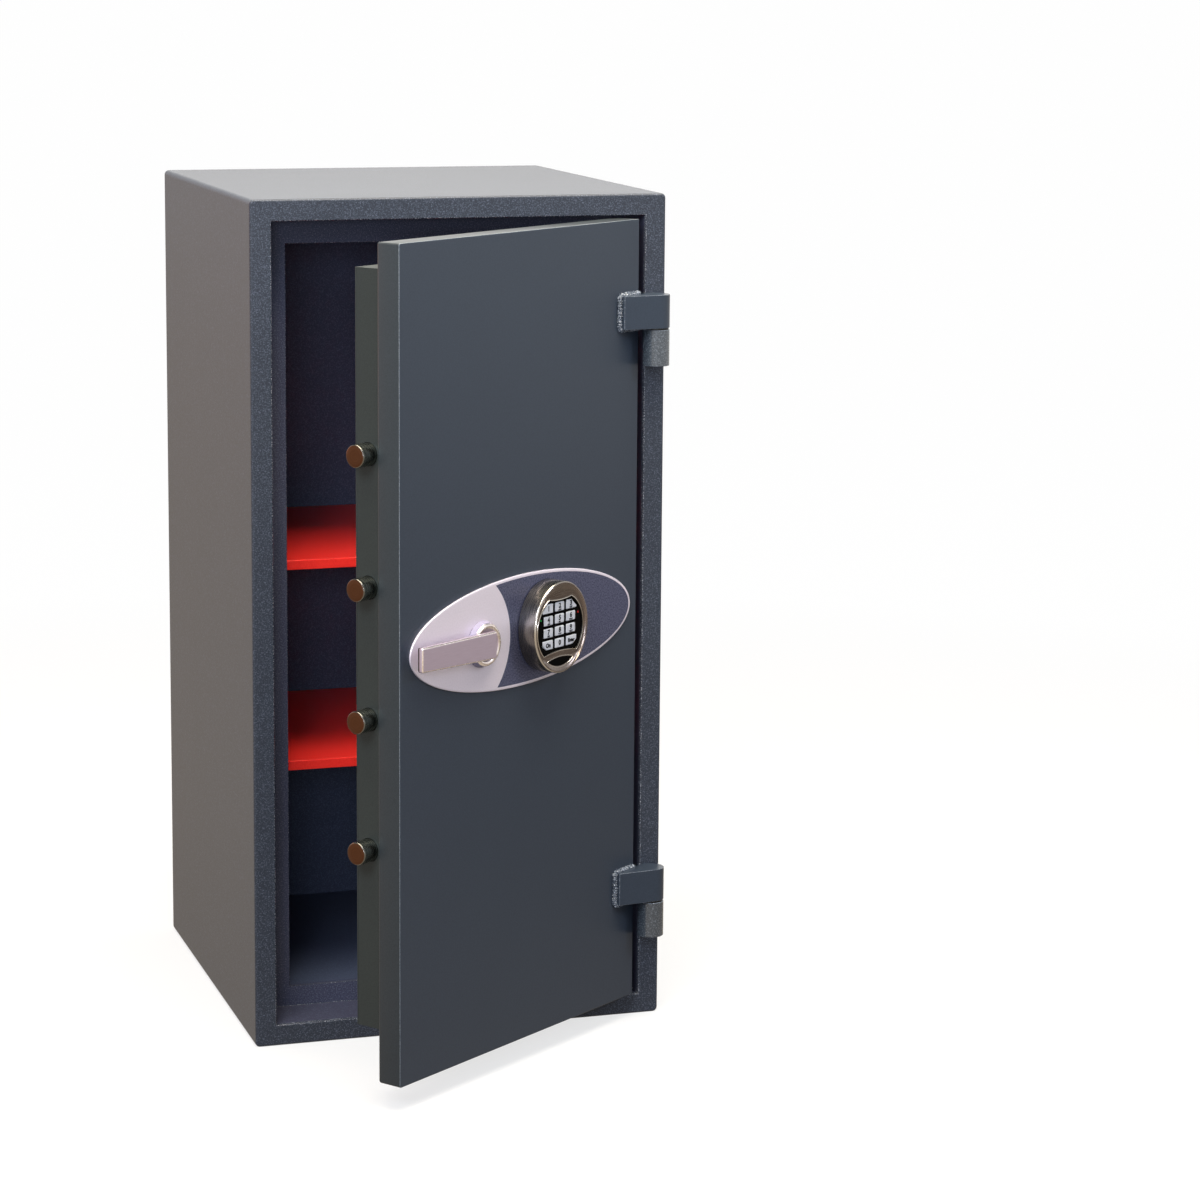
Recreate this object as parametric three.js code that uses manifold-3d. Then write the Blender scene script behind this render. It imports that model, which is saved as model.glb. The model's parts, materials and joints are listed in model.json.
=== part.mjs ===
// A free-standing high-security safe: a steel cabinet with a cast barrier between two skins, and a
// thick door on two welded hinges, which stands a little open with its four locking bolts thrown.
// Millimetres. X runs to the right, Y into the cabinet, Z up, and the origin is the middle of the
// base. Pieces of the door are written where they lie when it is shut, and its group turns them.
import * as THREE from "three";
import { mergeVertices } from "three/addons/utils/BufferGeometryUtils.js";
import Module from "manifold-3d";

const wasm = await Module();
wasm.setup();

// Cabinet
const CABINET_WIDTH = 425;
const CABINET_DEPTH = 440;
const CABINET_HEIGHT = 850;
const CORNER_RADIUS = 5;
const SHELL_SHEET = 4;
const LINER_SHEET = 2.5;
const SIDE_WALL = 48.5;
const TOP_WALL = 48.5;
const FLOOR_WALL = 42;
const BACK_WALL = 48;
const FRAME_EDGE = 21.5;
const REBATE_DEPTH = 60;
const STEP_SHEET = 6;
const JOINT_GAP = 0.3;

// Door
const DOOR_OPEN_ANGLE = 36;
const DOOR_GAP = 3;
const DOOR_THICKNESS = 27;
const DOOR_FACE_SHEET = 6;
const DOOR_EDGE_SHEET = 3;
const DOOR_BACK_SHEET = 2;
const DOOR_EDGE_RADIUS = 1.5;
const DOOR_BACK_LIP = 16;

// Boltwork box on the back of the door
const BOX_DEPTH = 30;
const BOX_SIDE_INSET = 5;
const BOX_TOP_GAP = 1;
const BOX_BOTTOM_GAP = 33.5;
const BOX_SHEET = 2;
const BOX_BASE_SHEET = 2;
const COVER_SHEET = 1.5;

// Locking line, the height on the door of the keypad's and the oval plate's middle
const LOCK_HEIGHT = 438;

// Hinges
const HINGE_BARREL_RADIUS = 13.5;
const HINGE_BARREL_CLEARANCE = 1;
const HINGE_SIDE_OFFSET = 7.5;
const HINGE_PIN_RADIUS = 6;
const HINGE_BORE_CLEARANCE = 0.1;
const HINGE_LEAF_HEIGHT = 33.5;
const HINGE_LEAF_LENGTH = 43;
const HINGE_LEAF_END = 6.2;
const HINGE_LEAF_SLOPE = 30;
const HINGE_KNUCKLE_HEIGHT = 36.5;
const HINGE_KNUCKLE_FOOT = 16;
const HINGE_WASHER_THICKNESS = 1.2;
const HINGE_CAP_WALL = 5;
const HINGE_SEAM_FROM_TOP = 133;
const HINGE_SEAM_FROM_BOTTOM = 126.5;

// Locking bolts and the mechanism that draws them
const BOLT_RADIUS = 11;
const BOLT_CHAMFER = 1.6;
const BOLT_LENGTH = 60;
const BOLT_STROKE = 18;
const BOLT_THROW = 19;
const BOLT_SPACING = 126;
const BOLT_COUNT = 4;
const BOLT_DEPTH_BEHIND_DOOR = 15;
const BOLT_CLEARANCE = 0.4;
const POCKET_CLEARANCE = 1;
const POCKET_END_GAP = 2;
const CARRIAGE_BAR = 12;
const CARRIAGE_OVERHANG = 24;
const ARM_HEIGHT = 22;
const ARM_RISE = 6;
const ARM_THICKNESS = 4;
const ARM_REACH = 44;
const GUIDE_SHEET = 4;
const GUIDE_INSET = 16;
const GUIDE_OVERHANG = 34;
const FIXED_BOLT_RADIUS = 10;
const FIXED_BOLT_REACH = 16;
const FIXED_BOLT_FLANGE = 12.5;
const FIXED_BOLT_FLANGE_THICKNESS = 5;
const FIXED_BOLT_SPACING = 252;
const FIXED_POCKET_CLEARANCE = 2.5;

// Handle
const HANDLE_OFFSET = -68;
const HANDLE_DROP = 3.5;
const SPINDLE_RADIUS = 6;
const SPINDLE_CLEARANCE = 0.1;
const BUSHING_RADIUS = 9.6;
const BUSHING_RECESS = 2;
const LEVER_LENGTH = 113;
const LEVER_TIP_HEIGHT = 23.6;
const LEVER_ROOT_HEIGHT = 27;
const LEVER_TIP_RISE = 3;
const LEVER_THICKNESS = 6;
const LEVER_PAST_SPINDLE = 5.5;
const LEVER_BORDER = 1.6;
const ROSETTE_FOOT_RADIUS = 22.8;
const ROSETTE_FOOT = 1;
const ROSETTE_RADIUS = 20.8;
const ROSETTE_HEIGHT = 8;
const ROSETTE_EDGE = 1.5;
const ROSETTE_FACE_INSET = 4;
const LEVER_ROSETTE_GAP = 1;
const CAM_RADIUS = 22;
const CAM_THICKNESS = 3;
const CAM_PIN_RADIUS = 3;
const CAM_PIN_LENGTH = 9;
const CAM_SLOT_CLEARANCE = 0.6;
const CAM_PIN_ORBIT = BOLT_STROKE / Math.SQRT2;

// Lock
const LOCK_WIDTH = 82;
const LOCK_TALL = 62;
const LOCK_DEEP = 22;
const LOCK_LEFT = -40;
const LOCK_BOLT_WIDTH = 12;
const LOCK_BOLT_THICK = 8;
const LOCK_BOLT_LENGTH = 34;
const LOCK_BOLT_PLAY = 2.5;
const CABLE_RADIUS = 2.5;
const CABLE_BEND = 14;
const CABLE_HOLE = 5;

// Oval plate
const OVAL_WIDTH = 350;
const OVAL_HEIGHT = 110;
const OVAL_THICKNESS = 2;

// Keypad
const KEYPAD_OFFSET = 31.5;
const KEYPAD_WIDTH = 86;
const KEYPAD_HEIGHT = 91;
const KEYPAD_PROUD = 24;
const KEYPAD_WALL = 4;
const KEYPAD_EDGE = 1.5;
const DISH_RIM = 2.6;
const DISH_SLOPE = 4.5;
const DISH_DEPTH = 2.6;
const KEYPAD_FLOOR = 3;
const PANEL_RECESS = 3.4;
const PANEL_THICKNESS = 1.5;
const PANEL_TOP = { x: 17.5, z: 28.4, middle: 26.8 };
const PANEL_SIDE = 36.4;
const PANEL_FOOT = { x: 26, z: -25.8, middle: -22.8 };
const KEY_SPACING_X = 18;
const KEY_SPACING_Z = 12;
const KEY_WIDTH = 14.4;
const KEY_HEIGHT = 9;
const CORNER_KEY_EXTRA = 2;
const TOP_KEY_CUT = { across: 8.4, down: 7 };
const BOTTOM_KEY_CUT = { across: 6.4, down: 4.2 };
const KEY_CORNER = 1.2;
const KEY_THICKNESS = 4;
const KEY_PROUD = 0.5;
const KEY_TRAVEL = 1.2;
const KEY_WINDOW_GAP = 0.35;
const KEYS_RISE = 2.3;
const LED_RADIUS = 0.9;
const LED_OFFSET = { x: 30.2, z: 10.3 };
const BATTERY_COVER_THICKNESS = 2.5;
const BATTERY_COVER_PROUD = 0.4;
const BATTERY_COVER_END = { x: 20.5, z: -32.2 };
const BATTERY_COVER_TOP = -29.4;
const BATTERY_COVER_BOTTOM = -39.2;

// Shelves
const SHELF_SHEET = 1.5;
const SHELF_LIP = 10;
const SHELF_SIDE_GAP = 1.5;
const SHELF_BACK_GAP = 0.5;
const SHELF_FRONT_GAP = 2.5;
const SHELF_HEIGHTS = { upper: 482, lower: 275.5 };
const BRACKET_LEG = 12;
const BRACKET_SHEET = 2;
const BRACKET_END_GAP = 21;

// Anchor hole in the floor and its plug
const ANCHOR_RADIUS = 7;
const ANCHOR_BACK = 60;
const PLUG_RIM = 11;
const PLUG_RIM_THICKNESS = 2;
const PLUG_LENGTH = 20;

// Planes that several pieces share
const RIGHT = CABINET_WIDTH / 2;
const FRONT = -CABINET_DEPTH / 2;
const BACK = CABINET_DEPTH / 2;
const OPENING_RIGHT = RIGHT - FRAME_EDGE;
const OPENING_TOP = CABINET_HEIGHT - FRAME_EDGE;
const INSIDE_RIGHT = RIGHT - SIDE_WALL;
const INSIDE_TOP = CABINET_HEIGHT - TOP_WALL;
const INSIDE_BACK = BACK - BACK_WALL;
const STEP_FRONT = FRONT + REBATE_DEPTH;
const STEP_BACK = STEP_FRONT + STEP_SHEET;
const SHELF_FRONT = STEP_BACK + SHELF_FRONT_GAP;
const SHELF_BACK = INSIDE_BACK - SHELF_BACK_GAP;
const DOOR_RIGHT = OPENING_RIGHT - DOOR_GAP;
const DOOR_TOP = OPENING_TOP - DOOR_GAP;
const DOOR_BOTTOM = FRAME_EDGE + DOOR_GAP;
const DOOR_BACK = FRONT + DOOR_THICKNESS;
const BOX_RIGHT = DOOR_RIGHT - BOX_SIDE_INSET;
const BOX_TOP = INSIDE_TOP - BOX_TOP_GAP;
const BOX_BOTTOM = FLOOR_WALL + BOX_BOTTOM_GAP;
const BOX_FRONT = DOOR_BACK + JOINT_GAP;
const BOX_BACK = DOOR_BACK + BOX_DEPTH;
const BOX_INNER_FRONT = BOX_FRONT + BOX_BASE_SHEET;
const COVER_FRONT = BOX_BACK - COVER_SHEET;
const HINGE_X = DOOR_RIGHT + HINGE_SIDE_OFFSET + DOOR_GAP;
const HINGE_Y = FRONT - HINGE_BARREL_RADIUS - HINGE_BARREL_CLEARANCE;
const BOLT_Y = DOOR_BACK + BOLT_DEPTH_BEHIND_DOOR;
const HINGE_SEAMS = { upper: CABINET_HEIGHT - HINGE_SEAM_FROM_TOP, lower: HINGE_SEAM_FROM_BOTTOM };
const HANDLE_HEIGHT = LOCK_HEIGHT - HANDLE_DROP;
const OVAL_FRONT = FRONT - JOINT_GAP - OVAL_THICKNESS;
const LEVER_BACK = OVAL_FRONT - ROSETTE_HEIGHT - LEVER_ROSETTE_GAP;

const material = (color, roughness, metalness) =>
  new THREE.MeshStandardMaterial({ color, roughness, metalness });

const paint = {
  body: material("#4c4f5a", 0.55, 0.1),
  inside: material("#2c2c3c", 0.6, 0.1),
  door: material("#454c54", 0.5, 0.1),
  shelf: material("#d8201c", 0.45, 0.05),
};
const barrier = material("#8e8c86", 0.95, 0);
const steel = material("#9c9a94", 0.35, 0.9);
const castMetal = material("#b9afb9", 0.4, 0.75);
const nickel = material("#8d887c", 0.3, 0.95);
const silver = material("#c3bac6", 0.45, 0.4);
const zinc = material("#a8a79c", 0.45, 0.8);
const blackPlastic = material("#161718", 0.4, 0);
const keyRubber = material("#b9bac0", 0.55, 0);
const greenLens = material("#1c8a3c", 0.25, 0);
const redLens = material("#b3201e", 0.25, 0);
const brass = material("#b08d4a", 0.35, 0.9);

// A closed three.js geometry as a solid that can be joined and cut.
function solid(geometry) {
  const bare = geometry.index ? geometry.toNonIndexed() : geometry.clone();
  bare.deleteAttribute("normal");
  bare.deleteAttribute("uv");
  const merged = mergeVertices(bare, 1e-4);
  return new wasm.Manifold(
    new wasm.Mesh({
      numProp: 3,
      vertProperties: new Float32Array(merged.attributes.position.array),
      triVerts: new Uint32Array(merged.index.array),
    }),
  );
}

// The surface of a solid as a flat-shaded geometry.
function surface(body) {
  const mesh = body.getMesh();
  const geometry = new THREE.BufferGeometry();
  geometry.setAttribute("position", new THREE.BufferAttribute(new Float32Array(mesh.vertProperties), 3));
  geometry.setIndex(new THREE.BufferAttribute(new Uint32Array(mesh.triVerts), 1));
  const flat = geometry.toNonIndexed();
  flat.computeVertexNormals();
  return flat;
}

// A block between two values on each axis.
function block([x0, x1], [y0, y1], [z0, z1]) {
  const geometry = new THREE.BoxGeometry(x1 - x0, y1 - y0, z1 - z0);
  return solid(geometry.translate((x0 + x1) / 2, (y0 + y1) / 2, (z0 + z1) / 2));
}

// A round bar along X, Y or Z, centred on the other two axes.
function bar(axis, radius, [from, to], [p, q], sides = 32) {
  const geometry = new THREE.CylinderGeometry(radius, radius, to - from, sides);
  const middle = (from + to) / 2;
  if (axis === "x") geometry.rotateZ(Math.PI / 2).translate(middle, p, q);
  if (axis === "y") geometry.translate(p, middle, q);
  if (axis === "z") geometry.rotateX(Math.PI / 2).translate(p, q, middle);
  return solid(geometry);
}

// An outline seen from the front, carried from its back plane forwards by its depth.
function plate(shape, back, depth, bevel = 0, curveSegments = 12) {
  const geometry = new THREE.ExtrudeGeometry(shape, {
    depth: depth - 2 * bevel,
    bevelEnabled: bevel > 0,
    bevelThickness: bevel,
    bevelSize: bevel,
    bevelOffset: -bevel,
    bevelSegments: 2,
    curveSegments,
  });
  return solid(geometry.rotateX(Math.PI / 2).translate(0, back - bevel, 0));
}

// An outline seen from above, carried upwards.
function column(shape, bottom, height, curveSegments = 16) {
  const geometry = new THREE.ExtrudeGeometry(shape, {
    depth: height,
    bevelEnabled: false,
    curveSegments,
  });
  return solid(geometry.translate(0, 0, bottom));
}

// A profile of [radius, distance] points turned round an axis that runs forwards from the door.
function turned(points, x, back, z, sides = 40) {
  const profile = points.map(([r, d]) => new THREE.Vector2(r, d));
  const geometry = new THREE.LatheGeometry(profile, sides);
  return solid(geometry.rotateX(Math.PI).translate(x, back, z));
}

function roundedRectangle(x0, x1, z0, z1, radius) {
  const shape = new THREE.Shape();
  shape.moveTo(x0 + radius, z0);
  shape.lineTo(x1 - radius, z0);
  shape.absarc(x1 - radius, z0 + radius, radius, -Math.PI / 2, 0);
  shape.lineTo(x1, z1 - radius);
  shape.absarc(x1 - radius, z1 - radius, radius, 0, Math.PI / 2);
  shape.lineTo(x0 + radius, z1);
  shape.absarc(x0 + radius, z1 - radius, radius, Math.PI / 2, Math.PI);
  shape.lineTo(x0, z0 + radius);
  shape.absarc(x0 + radius, z0 + radius, radius, Math.PI, 1.5 * Math.PI);
  return shape;
}

function ellipse(width, height, x = 0, z = 0) {
  const shape = new THREE.Shape();
  shape.absellipse(x, z, width / 2, height / 2, 0, 2 * Math.PI);
  return shape;
}

// A circular arc through three points, drawn as a few straight steps after the first point.
function arcThrough(shape, [x0, z0], [x1, z1], [x2, z2], steps = 8) {
  const d = 2 * (x0 * (z1 - z2) + x1 * (z2 - z0) + x2 * (z0 - z1));
  const s0 = x0 * x0 + z0 * z0;
  const s1 = x1 * x1 + z1 * z1;
  const s2 = x2 * x2 + z2 * z2;
  const cx = (s0 * (z1 - z2) + s1 * (z2 - z0) + s2 * (z0 - z1)) / d;
  const cz = (s0 * (x2 - x1) + s1 * (x0 - x2) + s2 * (x1 - x0)) / d;
  const radius = Math.hypot(x0 - cx, z0 - cz);
  const start = Math.atan2(z0 - cz, x0 - cx);
  const middle = Math.atan2(z1 - cz, x1 - cx);
  const end = Math.atan2(z2 - cz, x2 - cx);
  const turn = (from, to) => ((to - from) % (2 * Math.PI) + 2 * Math.PI) % (2 * Math.PI);
  const clockwise = turn(start, middle) > turn(start, end);
  const sweep = clockwise ? turn(start, end) - 2 * Math.PI : turn(start, end);
  for (let i = 1; i <= steps; i++) {
    const angle = start + (sweep * i) / steps;
    shape.lineTo(cx + radius * Math.cos(angle), cz + radius * Math.sin(angle));
  }
}

function add(group, name, body, look) {
  const mesh = new THREE.Mesh(surface(body), look);
  mesh.name = name;
  group.add(mesh);
  return mesh;
}

const safe = new THREE.Group();
const doorPivot = new THREE.Group();
const door = new THREE.Group();
doorPivot.position.set(HINGE_X, HINGE_Y, 0);
doorPivot.rotation.z = THREE.MathUtils.degToRad(DOOR_OPEN_ANGLE);
door.position.set(-HINGE_X, -HINGE_Y, 0);
doorPivot.add(door);
safe.add(doorPivot);

const boltHeights = Array.from(
  { length: BOLT_COUNT },
  (_, i) => LOCK_HEIGHT + (i - (BOLT_COUNT - 1) / 2) * -BOLT_SPACING,
);
const fixedBoltHeights = {
  upper: LOCK_HEIGHT + FIXED_BOLT_SPACING / 2,
  lower: LOCK_HEIGHT - FIXED_BOLT_SPACING / 2,
};

// Folded outer skin: sides, top, bottom and back in one, with a flange round the door opening.
function outerShell() {
  const outline = roundedRectangle(-RIGHT, RIGHT, 0, CABINET_HEIGHT, CORNER_RADIUS);
  const skin = plate(outline, BACK, CABINET_DEPTH, CORNER_RADIUS / 2, 3);
  const hollow = block(
    [-RIGHT + SHELL_SHEET, RIGHT - SHELL_SHEET],
    [FRONT + SHELL_SHEET, BACK - SHELL_SHEET],
    [SHELL_SHEET, CABINET_HEIGHT - SHELL_SHEET],
  );
  const opening = block(
    [-OPENING_RIGHT, OPENING_RIGHT],
    [FRONT - 1, FRONT + SHELL_SHEET + 1],
    [FRAME_EDGE, OPENING_TOP],
  );
  return skin.subtract(hollow).subtract(opening).subtract(anchorHole());
}

function anchorHole() {
  return bar("z", ANCHOR_RADIUS, [-1, FLOOR_WALL + 1], [0, ANCHOR_BACK], 20);
}

// Cast barrier in the sides, top and floor, between the outer skin and the liner.
function barrierFill() {
  const skin = SHELL_SHEET + JOINT_GAP;
  const liner = LINER_SHEET + JOINT_GAP;
  const depth = [STEP_BACK + JOINT_GAP, INSIDE_BACK + LINER_SHEET];
  const cast = block([-RIGHT + skin, RIGHT - skin], depth, [skin, CABINET_HEIGHT - skin]);
  const hollow = block(
    [-INSIDE_RIGHT - liner, INSIDE_RIGHT + liner],
    [depth[0] - 1, depth[1] + 1],
    [FLOOR_WALL - liner, INSIDE_TOP + liner],
  );
  return cast.subtract(hollow).subtract(anchorHole());
}

// Cast slab of barrier behind the liner, laid in last before the back is closed.
function barrierBack() {
  const skin = SHELL_SHEET + JOINT_GAP;
  return block(
    [-RIGHT + skin, RIGHT - skin],
    [INSIDE_BACK + LINER_SHEET + JOINT_GAP, BACK - skin],
    [skin, CABINET_HEIGHT - skin],
  );
}

function innerLiner() {
  const outside = block(
    [-INSIDE_RIGHT - LINER_SHEET, INSIDE_RIGHT + LINER_SHEET],
    [STEP_BACK + JOINT_GAP, INSIDE_BACK + LINER_SHEET],
    [FLOOR_WALL - LINER_SHEET, INSIDE_TOP + LINER_SHEET],
  );
  const inside = block(
    [-INSIDE_RIGHT, INSIDE_RIGHT],
    [STEP_BACK - 1, INSIDE_BACK],
    [FLOOR_WALL, INSIDE_TOP],
  );
  return outside.subtract(inside).subtract(anchorHole());
}

// Welded jamb: the rebate that the door shuts into, its step, and the pockets for the bolts.
function jambFrame() {
  const outer = SHELL_SHEET + JOINT_GAP;
  const ring = block(
    [-RIGHT + outer, RIGHT - outer],
    [FRONT + outer, STEP_BACK],
    [outer, CABINET_HEIGHT - outer],
  );
  const rebate = block(
    [-OPENING_RIGHT, OPENING_RIGHT],
    [FRONT, STEP_FRONT],
    [FRAME_EDGE, OPENING_TOP],
  );
  const inside = block(
    [-INSIDE_RIGHT, INSIDE_RIGHT],
    [FRONT, STEP_BACK + 1],
    [FLOOR_WALL, INSIDE_TOP],
  );
  let frame = ring.subtract(rebate).subtract(inside);
  const pocketEnd = BOX_RIGHT + BOLT_THROW + POCKET_END_GAP;
  for (const height of boltHeights) {
    const pocket = bar(
      "x",
      BOLT_RADIUS + POCKET_CLEARANCE,
      [-pocketEnd, -OPENING_RIGHT + 1],
      [BOLT_Y, height],
      28,
    );
    frame = frame.subtract(pocket);
  }
  const fixedEnd = BOX_RIGHT + FIXED_BOLT_REACH + POCKET_END_GAP;
  for (const height of Object.values(fixedBoltHeights)) {
    const pocket = bar(
      "x",
      FIXED_BOLT_RADIUS + FIXED_POCKET_CLEARANCE,
      [OPENING_RIGHT - 1, fixedEnd],
      [BOLT_Y, height],
      28,
    );
    frame = frame.subtract(pocket);
  }
  return frame;
}

// Lower half of a hinge: a barrel on a short foot, welded to the front of the frame.
function hingeKnuckle(seam) {
  const top = seam - HINGE_WASHER_THICKNESS - 2 * JOINT_GAP;
  const bottom = top - HINGE_KNUCKLE_HEIGHT;
  const barrel = bar("z", HINGE_BARREL_RADIUS, [bottom, top], [HINGE_X, HINGE_Y], 36);
  const foot = block(
    [HINGE_X - HINGE_KNUCKLE_FOOT / 2, HINGE_X + HINGE_KNUCKLE_FOOT / 2],
    [HINGE_Y, FRONT - JOINT_GAP],
    [bottom, top],
  );
  const bore = bar(
    "z",
    HINGE_PIN_RADIUS + HINGE_BORE_CLEARANCE,
    [bottom + HINGE_CAP_WALL, top + 1],
    [HINGE_X, HINGE_Y],
  );
  return barrel.add(foot).subtract(bore);
}

function hingePin(seam) {
  const bottom = seam - HINGE_WASHER_THICKNESS - 2 * JOINT_GAP - HINGE_KNUCKLE_HEIGHT + HINGE_CAP_WALL;
  const top = seam + HINGE_LEAF_HEIGHT - HINGE_CAP_WALL;
  return bar("z", HINGE_PIN_RADIUS, [bottom + JOINT_GAP, top - JOINT_GAP], [HINGE_X, HINGE_Y]);
}

function hingeWasher(seam) {
  const bottom = seam - JOINT_GAP - HINGE_WASHER_THICKNESS;
  const disc = bar("z", HINGE_BARREL_RADIUS - 1, [bottom, seam - JOINT_GAP], [HINGE_X, HINGE_Y]);
  const bore = bar(
    "z",
    HINGE_PIN_RADIUS + HINGE_BORE_CLEARANCE,
    [bottom - 1, seam],
    [HINGE_X, HINGE_Y],
  );
  return disc.subtract(bore);
}

// Upper half of a hinge: a wedge welded to the door, thin at its end and tangent to its barrel.
function hingeLeaf(seam) {
  const slope = THREE.MathUtils.degToRad(HINGE_LEAF_SLOPE);
  const doorFace = FRONT - JOINT_GAP;
  const end = HINGE_X - HINGE_LEAF_LENGTH;
  const neck = HINGE_X - HINGE_SIDE_OFFSET;
  const shape = new THREE.Shape();
  shape.moveTo(end, doorFace);
  shape.lineTo(end, doorFace - HINGE_LEAF_END);
  shape.absarc(HINGE_X, HINGE_Y, HINGE_BARREL_RADIUS, -Math.PI / 2 - slope, Math.PI / 2);
  shape.lineTo(neck, HINGE_Y + HINGE_BARREL_RADIUS);
  shape.lineTo(neck, doorFace);
  const bore = bar(
    "z",
    HINGE_PIN_RADIUS + HINGE_BORE_CLEARANCE,
    [seam - 1, seam + HINGE_LEAF_HEIGHT - HINGE_CAP_WALL],
    [HINGE_X, HINGE_Y],
  );
  return column(shape, seam, HINGE_LEAF_HEIGHT).subtract(bore);
}

// Pressed shelf with its front, side and back edges turned down.
function shelf(top) {
  const half = INSIDE_RIGHT - SHELF_SIDE_GAP;
  const outside = block([-half, half], [SHELF_FRONT, SHELF_BACK], [top - SHELF_LIP, top]);
  const under = block(
    [-half + SHELF_SHEET, half - SHELF_SHEET],
    [SHELF_FRONT + SHELF_SHEET, SHELF_BACK - SHELF_SHEET],
    [top - SHELF_LIP - 1, top - SHELF_SHEET],
  );
  return outside.subtract(under);
}

// Angle under each side of a shelf, riveted to the liner.
function shelfBracket(top, side) {
  const wall = INSIDE_RIGHT - JOINT_GAP;
  const seat = top - SHELF_LIP - JOINT_GAP;
  const run = [SHELF_FRONT + BRACKET_END_GAP, SHELF_BACK - BRACKET_END_GAP];
  const across = (near, far) => (side < 0 ? [-far, -near] : [near, far]);
  const ledge = block(across(wall - BRACKET_LEG, wall), run, [seat - BRACKET_SHEET, seat]);
  const leg = block(across(wall - BRACKET_SHEET, wall), run, [seat - BRACKET_LEG, seat]);
  return ledge.add(leg);
}

function anchorPlug() {
  const rim = bar(
    "z",
    PLUG_RIM,
    [FLOOR_WALL + JOINT_GAP, FLOOR_WALL + JOINT_GAP + PLUG_RIM_THICKNESS],
    [0, ANCHOR_BACK],
    24,
  );
  const stem = bar(
    "z",
    ANCHOR_RADIUS - JOINT_GAP,
    [FLOOR_WALL - PLUG_LENGTH, FLOOR_WALL + 1],
    [0, ANCHOR_BACK],
    20,
  );
  return rim.add(stem);
}

// The holes that run through the door for the handle's spindle and the keypad's cable.
function doorBores(from, to) {
  const spindle = bar(
    "y",
    BUSHING_RADIUS + JOINT_GAP,
    [from, to],
    [HANDLE_OFFSET, HANDLE_HEIGHT],
    28,
  );
  const cable = bar("y", CABLE_HOLE, [from, to], [KEYPAD_OFFSET, LOCK_HEIGHT], 16);
  return spindle.add(cable);
}

// Outer face of the door: a pan of plate with a lip round its back for the barrier.
function doorPlate() {
  const outline = roundedRectangle(-DOOR_RIGHT, DOOR_RIGHT, DOOR_BOTTOM, DOOR_TOP, DOOR_EDGE_RADIUS);
  const pan = plate(outline, DOOR_BACK, DOOR_THICKNESS, DOOR_EDGE_RADIUS / 2, 2);
  const hollow = block(
    [-DOOR_RIGHT + DOOR_EDGE_SHEET, DOOR_RIGHT - DOOR_EDGE_SHEET],
    [FRONT + DOOR_FACE_SHEET, DOOR_BACK - DOOR_BACK_SHEET],
    [DOOR_BOTTOM + DOOR_EDGE_SHEET, DOOR_TOP - DOOR_EDGE_SHEET],
  );
  const mouth = block(
    [-DOOR_RIGHT + DOOR_BACK_LIP, DOOR_RIGHT - DOOR_BACK_LIP],
    [DOOR_BACK - DOOR_BACK_SHEET - 1, DOOR_BACK + 1],
    [BOX_BOTTOM + DOOR_BACK_LIP, BOX_TOP - DOOR_BACK_LIP],
  );
  return pan.subtract(hollow).subtract(mouth).subtract(doorBores(FRONT - 1, DOOR_BACK));
}

function doorFill() {
  const edge = DOOR_EDGE_SHEET + JOINT_GAP;
  const slab = block(
    [-DOOR_RIGHT + edge, DOOR_RIGHT - edge],
    [FRONT + DOOR_FACE_SHEET + JOINT_GAP, DOOR_BACK - DOOR_BACK_SHEET - JOINT_GAP],
    [DOOR_BOTTOM + edge, DOOR_TOP - edge],
  );
  return slab.subtract(doorBores(FRONT, DOOR_BACK));
}

// Tray on the back of the door that holds the boltwork.
function boltworkBox() {
  const outline = block([-BOX_RIGHT, BOX_RIGHT], [BOX_FRONT, COVER_FRONT - JOINT_GAP], [BOX_BOTTOM, BOX_TOP]);
  const inside = block(
    [-BOX_RIGHT + BOX_SHEET, BOX_RIGHT - BOX_SHEET],
    [BOX_INNER_FRONT, BOX_BACK],
    [BOX_BOTTOM + BOX_SHEET, BOX_TOP - BOX_SHEET],
  );
  let tray = outline.subtract(inside).subtract(doorBores(BOX_FRONT - 1, BOX_INNER_FRONT + 1));
  for (const height of boltHeights) {
    const hole = bar(
      "x",
      BOLT_RADIUS + BOLT_CLEARANCE,
      [-BOX_RIGHT - 1, -BOX_RIGHT + BOX_SHEET + 1],
      [BOLT_Y, height],
    );
    tray = tray.subtract(hole);
  }
  for (const height of Object.values(fixedBoltHeights)) {
    const hole = bar(
      "x",
      FIXED_BOLT_RADIUS + JOINT_GAP,
      [BOX_RIGHT - BOX_SHEET - 1, BOX_RIGHT + 1],
      [BOLT_Y, height],
    );
    tray = tray.subtract(hole);
  }
  return tray;
}

function boltworkCover() {
  return block([-BOX_RIGHT, BOX_RIGHT], [COVER_FRONT, BOX_BACK], [BOX_BOTTOM, BOX_TOP]);
}

function lockingBolt(height) {
  const tip = -BOX_RIGHT - BOLT_THROW;
  const points = [
    [0, 0],
    [BOLT_RADIUS, 0],
    [BOLT_RADIUS, BOLT_LENGTH - BOLT_CHAMFER],
    [BOLT_RADIUS - BOLT_CHAMFER, BOLT_LENGTH],
    [0, BOLT_LENGTH],
  ];
  const profile = points.map(([r, d]) => new THREE.Vector2(r, d));
  const geometry = new THREE.LatheGeometry(profile, 32);
  return solid(geometry.rotateZ(Math.PI / 2).translate(tip + BOLT_LENGTH, BOLT_Y, height));
}

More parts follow.
